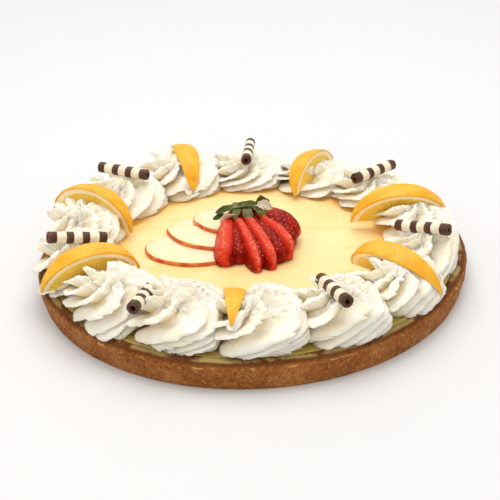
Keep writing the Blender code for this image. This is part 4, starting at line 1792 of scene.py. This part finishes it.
@dataclass
class AppleFan:
    """Three thin apple slices, each lying on the last.

    Each place holds the middle, the half sizes and the yaw.
    """

    places: tuple[tuple[float, ...], ...] = (
        (-37.0, -4.0, 33.0, 21.5, -6.0), (-25.5, 14.0, 33.0, 23.0, -28.0),
        (-8.0, 30.0, 31.0, 26.0, -15.0))
    thickness: float = 2.6 * MM
    gap: float = 0.3 * MM
    bed: float = 19.3 * MM
    sides: int = 160
    rings: int = 64

    def share(self, x: float, y: float, place: Sequence[float]) -> float:
        """Distance from a slice's middle in shares of its half sizes.

        Args:
            x: plan X in metres.
            y: plan Y in metres.
            place: row of the slice.

        Returns:
            The share, 1 on its outline.
        """
        middle_x, middle_y, long_half, short_half, yaw = place
        angle = math.radians(yaw)
        dx = x / MM - middle_x
        dy = y / MM - middle_y
        along = dx * math.cos(angle) + dy * math.sin(angle)
        across = dy * math.cos(angle) - dx * math.sin(angle)
        return math.hypot(along / long_half, across / short_half)

    def rest(self, x: float, y: float, index: int) -> float:
        """Height of what lies under a slice.

        Args:
            x: plan X in metres.
            y: plan Y in metres.
            index: number of the slice, from 0.

        Returns:
            The height in metres.
        """
        height = self.bed
        for place in self.places[:index]:
            near = ramp(self.share(x, y, place), 1.55, 1.08)
            height += (self.thickness + self.gap) * near
        return height

    def shape(self, index: int, co: Vector) -> tuple[Vector, Vector]:
        """Place one vertex of a slice.

        Args:
            index: number of the slice, from 0.
            co: position on the unit sphere.

        Returns:
            Its place, and its rind: skin, share of the radius.
        """
        x, y, long_half, short_half, yaw = self.places[index]
        around, share = ball_place(co)
        lower, upper = 0.36, 0.58
        if share < lower:
            reach, rise = 0.995 * share / lower, 0.0
        elif share > upper:
            reach, rise = 0.965 * (1.0 - share) / (1.0 - upper), 1.0
        else:
            rise = (share - lower) / (upper - lower)
            reach = 0.965 + 0.035 * math.sin(math.pi * rise) ** 0.6
            reach += 0.030 * (1.0 - rise) ** 2
        skin = 1.0 if 0.02 < rise < 0.98 else 0.0
        wave = 1.0 + 0.010 * math.sin(3.0 * around + index)
        wave += 0.006 * math.sin(7.0 * around + 2.0 * index)
        along = math.cos(around) * long_half * reach * wave
        across = math.sin(around) * short_half * reach * wave
        angle = math.radians(yaw)
        plan_x = x + along * math.cos(angle) - across * math.sin(angle)
        plan_y = y + along * math.sin(angle) + across * math.cos(angle)
        plan = Vector((plan_x * MM, plan_y * MM, 0.0))
        height = self.rest(plan.x, plan.y, index)
        height += self.thickness * rise
        if rise > 0.9:
            height += bumps(plan, 9.0 * MM, index) * 0.12 * MM
        return Vector((plan.x, plan.y, height)), Vector((skin, reach, 0.0))

    def build(self, material: Material) -> None:
        """Model the slices.

        Args:
            material: their finish.
        """
        for index in range(len(self.places)):
            bm = ball(self.sides, self.rings)
            reshape(bm, "rind", partial(self.shape, index))
            piece = finished(bm, f"apple_cut_{index + 1}", [material])
            settle(piece, f"apple_slice_{index + 1}")


# --- Strawberry ---

@dataclass
class BerrySlice:
    """One slice of the strawberry, from its hull end to its tip.

    Its cross-section leans over by some degrees; the light angle says on which
    side of its crest the bright band runs: cut flesh painted lit there, and
    painted shaded on the other flank.
    """

    start: Vector
    tip: Vector
    half_width: float
    half_height: float
    lean: float
    light: float
    skin: float
    blunt: float
    sides: int = 84
    rings: int = 72

    def __post_init__(self) -> None:
        """Keep the middle, half the length and the axes."""
        self.middle = (self.start + self.tip) / 2.0
        self.half = (self.tip - self.start).length / 2.0
        self.along = (self.tip - self.start).normalized()
        side = self.along.cross(UP).normalized()
        up = side.cross(self.along)
        turn = math.radians(self.lean)
        self.side = side * math.cos(turn) + up * math.sin(turn)
        self.up = up * math.cos(turn) - side * math.sin(turn)

    def size_at(self, co_z: float) -> float:
        """Share of the half sizes that is left at a place along it.

        Args:
            co_z: place from -1 at the hull end to 1 at the tip.

        Returns:
            The share, 0 at both ends.
        """
        fall = abs(co_z) ** self.blunt
        width = max(0.0, 1.0 - fall) ** 0.5
        taper = 1.0 - 0.08 * ramp(co_z, 0.2, 1.0)
        taper -= 0.20 * ramp(co_z, 0.2, -1.0)
        return width * taper

    def add_to(self, bm: Body, layer: Layer, seed: float) -> None:
        """Model the slice inside a shared bmesh.

        Args:
            bm: bmesh of the whole fan.
            layer: its cut attribute.
            seed: number that picks this slice's unevenness.
        """
        made = bmesh.ops.create_uvsphere(
            bm, u_segments=self.sides, v_segments=self.rings, radius=1.0)
        side, up, along = self.side, self.up, self.along
        toward = math.radians(self.light)
        for vertex in made["verts"]:
            co = vertex.co.copy()
            width = math.hypot(co.x, co.y)
            ahead, rise = (co.x / width, co.y / width) if (
                width > 1e-6) else (0.0, 0.0)
            full = self.size_at(co.z)
            box = 1.0
            if self.skin < 0.5:
                box = 1.0 + 0.10 * math.sin(math.pi * abs(ahead)) ** 2
            foot = 1.0 + 0.28 * ramp(rise, 0.4, -0.6)
            place = side * (ahead * full * box * foot * self.half_width)
            place += up * (rise * full * box * self.half_height)
            place += along * co.z * self.half
            place += self.middle
            swell = bumps(place, 5.0 * MM, seed) * 0.35
            swell += bumps(place, 1.7 * MM, seed) * 0.16
            outward = (side * ahead + up * rise).normalized() if (
                width > 1e-6) else along
            vertex.co = place + outward * swell * MM
            # The crest mark is highest on the side that faces the light angle,
            # which the finish paints lit.
            crest = max(0.0, rise * math.cos(toward)
                        + ahead * math.sin(toward))
            crest = max(crest, 0.82 * ramp(co.z, 0.965, 0.99))
            skin = self.skin
            if self.blunt < 3.0:
                skin *= ramp(co.z, 0.985, 0.95)
            vertex[layer] = Vector((skin, crest, 0.0))


@dataclass
class StrawberryFan:
    """Strawberry sliced into a fan that stays joined at the hull.

    Each slice holds its hull end, tip, half width and half height in
    millimetres, its lean and light angles, and 1 if its outside is skin.
    A pair of numbers is for the plain slices and for the rounded lobe.
    """

    slices: tuple[tuple, ...] = (
        ((-14.6, 14.0, 30.0), (-17.0, -28.8, 22.6), 7.0, 8.8, 4.0, 30.0,
         0.0),
        ((-10.4, 15.0, 31.0), (4.0, -37.6, 20.6), 4.4, 9.4, 4.0, -4.0,
         0.0),
        ((-5.6, 16.0, 31.6), (13.6, -34.8, 21.4), 5.0, 9.8, 8.0, -4.0,
         0.0),
        ((1.0, 16.0, 32.0), (25.0, -23.6, 23.4), 5.6, 10.2, 16.0, -6.0,
         0.0),
        ((-1.0, 19.0, 33.0), (32.0, -1.4, 27.0), 11.0, 11.0, 0.0, 0.0, 1.0),
        ((-12.8, 14.0, 29.4), (-7.2, -26.0, 21.6), 6.2, 8.6, 0.0, 0.0, 1.0),
        ((-8.0, 15.0, 30.4), (7.2, -32.0, 21.2), 5.0, 8.9, 0.0, 0.0, 1.0),
        ((-2.2, 16.0, 31.4), (19.4, -27.0, 22.6), 7.4, 10.0, 18.0, 0.0,
         1.0),
        ((4.0, 18.0, 31.4), (27.4, -9.0, 24.0), 6.8, 9.8, 0.0, 0.0, 1.0))
    hull: tuple[float, float, float] = (-3.4, 14.8, 30.8)
    hull_size: tuple[float, float, float] = (13.4, 9.8, 9.8)
    ground: float = 19.3 * MM
    lobe: int = 4
    blunts: tuple[float, float] = (7.0, 2.4)
    seed_counts: tuple[int, int] = (130, 180)
    seed_size: tuple[float, float, float] = (0.30 * MM, 0.42 * MM, 0.24 * MM)
    seed_depth: float = 0.22 * MM
    dimple: float = 1.5 * MM
    dimple_depth: float = 0.55 * MM

    def seeds(self, chosen: BerrySlice,
              count: int) -> list[tuple[Vector, Vector]]:
        """Spread seeds over a slice.

        Args:
            chosen: the slice.
            count: how many are spread over its whole skin.

        Returns:
            Place and outward direction of each seed.
        """
        side, up, along = chosen.side, chosen.up, chosen.along
        golden = math.pi * (3.0 - math.sqrt(5.0))
        found = []
        for index in range(count):
            z = blend(-0.75, 0.88, (index + 0.5) / count)
            turn = golden * index
            x, y = math.cos(turn), math.sin(turn)
            full = chosen.size_at(z)
            place = side * (x * full * chosen.half_width)
            place += up * (y * full * chosen.half_height)
            place += along * z * chosen.half + chosen.middle
            outward = side * x + up * y
            outward += along * (0.7 * max(0.0, z))
            found.append((place, outward.normalized()))
        return found

    def build(self, flesh: Material, seed: Material) -> None:
        """Model the fan and its seeds.

        Args:
            flesh: finish of the berry.
            seed: finish of its seeds.
        """
        bm = bmesh.new()
        layer = bm.verts.layers.float_vector.new("cut")
        cut = []
        for index, row in enumerate(self.slices):
            start, tip, width, height, *looks = row
            blunt = self.blunts[index == self.lobe]
            piece = BerrySlice(Vector(start) * MM, Vector(tip) * MM,
                               width * MM, height * MM, *looks, blunt)
            piece.add_to(bm, layer, float(index + 1))
            cut.append(piece)
        self.add_hull(bm, layer)
        for vertex in bm.verts:
            vertex.co.z = max(vertex.co.z, self.ground)
        places = []
        for index, piece in enumerate(cut):
            if piece.skin > 0.5:
                count = self.seed_counts[index == self.lobe]
                places += self.seeds(piece, count)
        self.add_seeds(bm, layer, places)
        fan = finished(bm, "strawberry_sliced", [flesh, seed])
        settle(fan, "strawberry_fan")

    def add_hull(self, bm: Body, layer: Layer) -> None:
        """Model the shoulder that joins the slices.

        Args:
            bm: bmesh of the fan.
            layer: its cut attribute.
        """
        made = bmesh.ops.create_uvsphere(bm, u_segments=72, v_segments=40,
                                         radius=1.0)
        for vertex in made["verts"]:
            co = vertex.co
            place = Vector((co.x * self.hull_size[0] + self.hull[0],
                            co.y * self.hull_size[1] + self.hull[1],
                            co.z * self.hull_size[2] + self.hull[2])) * MM
            swell = bumps(place, 5.0 * MM, 9.0) * 0.3 * MM
            vertex.co = place + co.normalized() * swell
            vertex[layer] = Vector((0.75, 0.3, 0.0))

    def add_seeds(self, bm: Body, layer: Layer,
                  places: Iterable[tuple[Vector, Vector]]) -> None:
        """Press a dimple into the skin and set a seed in each.

        Args:
            bm: bmesh of the fan.
            layer: its cut attribute.
            places: place and outward direction of each seed.
        """
        wanted = [pair for pair in places if pair[0].z > self.ground
                  + 1.0 * MM]
        skin = [vertex for vertex in bm.verts if vertex[layer].x > 0.9]
        tree = kdtree.KDTree(len(skin))
        for index, vertex in enumerate(skin):
            tree.insert(vertex.co, index)
        tree.balance()
        for place, outward in wanted:
            for _, index, gap in tree.find_range(place, self.dimple):
                dent = self.dimple_depth * (1.0 - gap / self.dimple) ** 2
                skin[index].co -= outward * dent
        grains = bmesh.new()
        for place, outward in wanted:
            turn = UP.rotation_difference(outward).to_matrix().to_4x4()
            size = Matrix.Diagonal((*self.seed_size, 1.0))
            shift = Matrix.Translation(place - outward * self.seed_depth)
            bmesh.ops.create_uvsphere(
                grains, u_segments=8, v_segments=6, radius=1.0,
                matrix=shift @ turn @ size)
        for face in grains.faces:
            face.material_index = 1
        loose = bpy.data.meshes.new("strawberry_seeds")
        grains.to_mesh(loose)
        grains.free()
        bm.from_mesh(loose)
        bpy.data.meshes.remove(loose)


@dataclass
class Calyx:
    """Leaves that hang over the hull.

    Each leaf holds its root and tip in millimetres, its half width, how
    far its middle arches up, how pale it is, how far it is turned about
    its own length in degrees, and how far its tip curls back.
    """

    leaves: tuple[tuple, ...] = (
        ((-8.5, 14.0, 40.6), (-22.8, 10.4, 38.8), 2.6, 1.0, 0.0, 45.0, 0.0),
        ((-15.0, 11.6, 37.4), (-24.6, 8.0, 35.4), 1.9, 0.4, 0.0, 50.0, 0.0),
        ((-8.8, 9.6, 37.6), (-20.0, 6.2, 34.2), 3.6, 0.6, 1.0, -110.0,
         0.0),
        ((-7.0, 14.0, 40.6), (-9.8, 5.8, 35.6), 2.8, 1.6, 0.10, -10.0, 0.0),
        ((-3.2, 14.0, 41.0), (-0.6, 2.6, 34.0), 3.3, 2.4, 0.14, 6.0, 0.0),
        ((2.6, 14.0, 41.0), (9.8, 2.6, 35.8), 3.8, 2.4, 0.04, 10.0, 0.0),
        ((3.4, 14.2, 41.6), (15.0, 9.8, 40.4), 3.7, 1.4, 0.86, -55.0, 0.0),
        ((2.6, 16.0, 40.8), (13.0, 19.0, 45.6), 3.0, 1.0, 0.0, 130.0, 2.0),
        ((-2.0, 15.4, 40.6), (-14.6, 14.4, 40.4), 2.9, 0.9, 0.22, 12.0,
         0.0),
        ((-13.0, 14.0, 38.8), (9.0, 14.0, 40.4), 3.0, 3.0, 0.02, -30.0,
         0.0),
        ((-4.0, 16.0, 40.0), (-6.0, 25.0, 36.4), 3.2, 1.5, 0.0, 0.0, 0.0),
        ((-2.0, 16.0, 40.0), (4.0, 26.0, 36.4), 3.2, 1.5, 0.0, 0.0, 0.0))
    thickness: float = 0.5 * MM
    steps: int = 30
    strips: int = 12

    def leaf(self, bm: Body, layer: Layer, row: tuple,
             number: int) -> None:
        """Model one leaf as a bent grid.

        Args:
            bm: bmesh of the calyx.
            layer: its blade attribute.
            row: the leaf's numbers.
            number: index of the leaf.
        """
        root_mm, tip_mm, half_width, arch, pale, twist, curl_back = row
        start = Vector(root_mm) * MM
        tip = Vector(tip_mm) * MM
        along = (tip - start).normalized()
        side = along.cross(UP).normalized()
        up = side.cross(along)
        made = bmesh.ops.create_grid(bm, x_segments=self.steps,
                                     y_segments=self.strips, size=1.0)
        for vertex in made["verts"]:
            share = vertex.co.x * 0.5 + 0.5
            across = vertex.co.y
            width = math.sin(math.pi * (0.16 + 0.84 * share) ** 1.35) ** 0.7
            width = max(width, 0.02)
            teeth = 1.0 + 0.07 * abs(across) ** 6 * math.sin(share * 23.0)
            curl = math.radians(twist) * share
            fold = abs(across) ** 1.5 * 0.34
            reach = half_width * MM * width * teeth
            out = side * math.cos(curl) + up * math.sin(curl)
            lift = up * math.cos(curl) - side * math.sin(curl)
            place = start.lerp(tip, share)
            place += up * math.sin(math.pi * share) * arch * MM
            back = ramp(share, 0.55, 1.0) * curl_back * MM
            place += side * back - up * back * 0.8 - along * back * 0.5
            place += out * across * reach + lift * fold * reach
            sway = bumps(place, 3.0 * MM, float(number)) * 0.5 * MM
            vertex.co = place + up * sway
            vertex[layer] = Vector((share, abs(across), pale))

    def build(self, material: Material) -> None:
        """Model the calyx.

        Args:
            material: its finish.
        """
        bm = bmesh.new()
        layer = bm.verts.layers.float_vector.new("blade")
        for number, row in enumerate(self.leaves):
            self.leaf(bm, layer, row, number)
        bmesh.ops.recalc_face_normals(bm, faces=bm.faces)
        calyx = finished(bm, "strawberry_leaves", [material])
        solid = calyx.modifiers.new("thickness", "SOLIDIFY")
        solid.thickness = self.thickness
        solid.offset = 0.0
        settle(calyx, "strawberry_calyx")


# --- Studio ---

@dataclass
class Studio:
    """Floor, lights and camera of the product photograph."""

    focal_pixels: float = 1167.34
    elevation: float = 29.29
    distance: float = 0.77871
    roll: float = 2.35
    centre: tuple[float, float] = (252.28, 271.0)
    picture: float = 500.0
    sensor: float = 36.0
    floor_radius: float = 4.0
    floor_drop: float = 0.05 * MM
    aim: tuple[float, float, float] = (0.0, 0.0, 0.02)
    sky: Colour = (1.0, 0.93, 0.82)
    sky_strength: float = 0.62
    lamps: tuple[tuple, ...] = (
        ("key_above", (0.02, 0.18, 1.19), 0.9, 10.2, (1.0, 0.99, 0.975)),
        ("fill_front", (-0.1, -1.15, 0.70), 1.0, 2.8, (1.0, 0.95, 0.88)),
        ("fill_right", (1.1, -0.4, 0.7), 0.9, 1.2, (1.0, 1.0, 1.0)),
        ("fill_left", (-1.1, -0.3, 0.7), 0.9, 1.9, (1.0, 0.95, 0.88)),
        ("back_rim", (-0.1, 1.2, 0.9), 1.0, 2.4, (1.0, 1.0, 1.0)))

    def camera(self) -> None:
        """Place the camera at the photograph's angle."""
        tilt = math.radians(self.elevation)
        turn = math.radians(self.roll)
        eye = Vector((0.0, -math.cos(tilt), math.sin(tilt))) * self.distance
        ahead = (-eye).normalized()
        right = Vector((1.0, 0.0, 0.0))
        above = right.cross(ahead)
        look = Matrix((right, above, -ahead))
        bank = Matrix(((math.cos(turn), -math.sin(turn), 0.0),
                       (math.sin(turn), math.cos(turn), 0.0),
                       (0.0, 0.0, 1.0)))
        half = self.picture / 2.0
        pan = math.atan((self.centre[0] - half) / self.focal_pixels)
        nod = math.atan((self.centre[1] - half) / self.focal_pixels)
        swing = Matrix(((math.cos(pan), 0.0, -math.sin(pan)),
                        (0.0, 1.0, 0.0),
                        (math.sin(pan), 0.0, math.cos(pan))))
        dip = Matrix(((1.0, 0.0, 0.0),
                      (0.0, math.cos(nod), math.sin(nod)),
                      (0.0, -math.sin(nod), math.cos(nod))))
        look = dip @ swing @ bank @ look
        data = bpy.data.cameras.new("photo_camera")
        data.sensor_width = self.sensor
        data.lens = self.focal_pixels / self.picture * self.sensor
        data.clip_start = 0.01
        made = bpy.data.objects.new("photo_camera", data)
        made.matrix_world = (Matrix.Translation(eye)
                             @ look.transposed().to_4x4())
        bpy.context.scene.collection.objects.link(made)
        bpy.context.scene.camera = made

    def lamp(self, name: str, place: Sequence[float], size: float,
             power: float, colour: Colour) -> None:
        """Hang one soft square light that faces the tart.

        Args:
            name: name of the light.
            place: where it hangs, in metres.
            size: its edge in metres.
            power: its power in watts.
            colour: its colour.
        """
        data = bpy.data.lights.new(name, "AREA")
        data.shape = "SQUARE"
        data.size = size
        data.energy = power
        data.color = colour
        made = bpy.data.objects.new(name, data)
        spot = Vector(place)
        made.location = spot
        toward = Vector(self.aim) - spot
        made.rotation_euler = toward.to_track_quat("-Z", "Y").to_euler()
        bpy.context.scene.collection.objects.link(made)

    def lights(self) -> None:
        """Hang the lights and set the pale surroundings."""
        for row in self.lamps:
            self.lamp(*row)
        world = bpy.data.worlds.new("pale_surroundings")
        world.use_nodes = True
        sky = world.node_tree.nodes["Background"]
        sky.inputs["Color"].default_value = (*self.sky, 1.0)
        sky.inputs["Strength"].default_value = self.sky_strength
        bpy.context.scene.world = world
        bpy.context.scene.view_settings.view_transform = "Standard"

    def floor(self, material: Material) -> None:
        """Lay the plain floor.

        Args:
            material: its finish.
        """
        bm = bmesh.new()
        bmesh.ops.create_circle(bm, cap_ends=True, segments=64,
                                radius=self.floor_radius)
        for vertex in bm.verts:
            vertex.co.z = -self.floor_drop
        ground = finished(bm, "studio_floor", [material])


@dataclass
class Tart:
    """The whole tart: every piece in the order in which it is made."""

    finishes: Finishes

    def steps(self) -> list[tuple[str, Callable[[], None]]]:
        """Return each part of the tart with what builds it."""
        look = self.finishes
        return [
            ("crust", lambda: CrustShell().build(look.crust)),
            ("custard", lambda: CustardFilling().build(look.custard)),
            ("cream", lambda: CreamRing().build(look.cream,
                                                CitrusSet().wedges())),
            ("citrus", lambda: CitrusSet().build(look.citrus)),
            ("chocolate", lambda: RollSet().build(look.chocolate)),
            ("apple", lambda: AppleFan().build(look.apple)),
            ("strawberry", lambda: StrawberryFan().build(look.berry,
                                                         look.seed)),
            ("calyx", lambda: Calyx().build(look.leaf)),
        ]

    def build(self) -> None:
        """Build every part and report it."""
        for label, make in self.steps():
            make()
            LOG.info("%s is done", label)


def main() -> None:
    """Build the tart and its studio in order."""
    logging.basicConfig(level=logging.INFO, format="%(name)s: %(message)s")
    # The vector noise that sways the cream would start from the clock.
    noise.seed_set(SWAY_SEED)
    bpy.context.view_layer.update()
    finishes = Finishes()
    Tart(finishes).build()
    studio = Studio()
    studio.floor(finishes.floor)
    studio.lights()
    studio.camera()


if __name__ == "__main__":
    main()
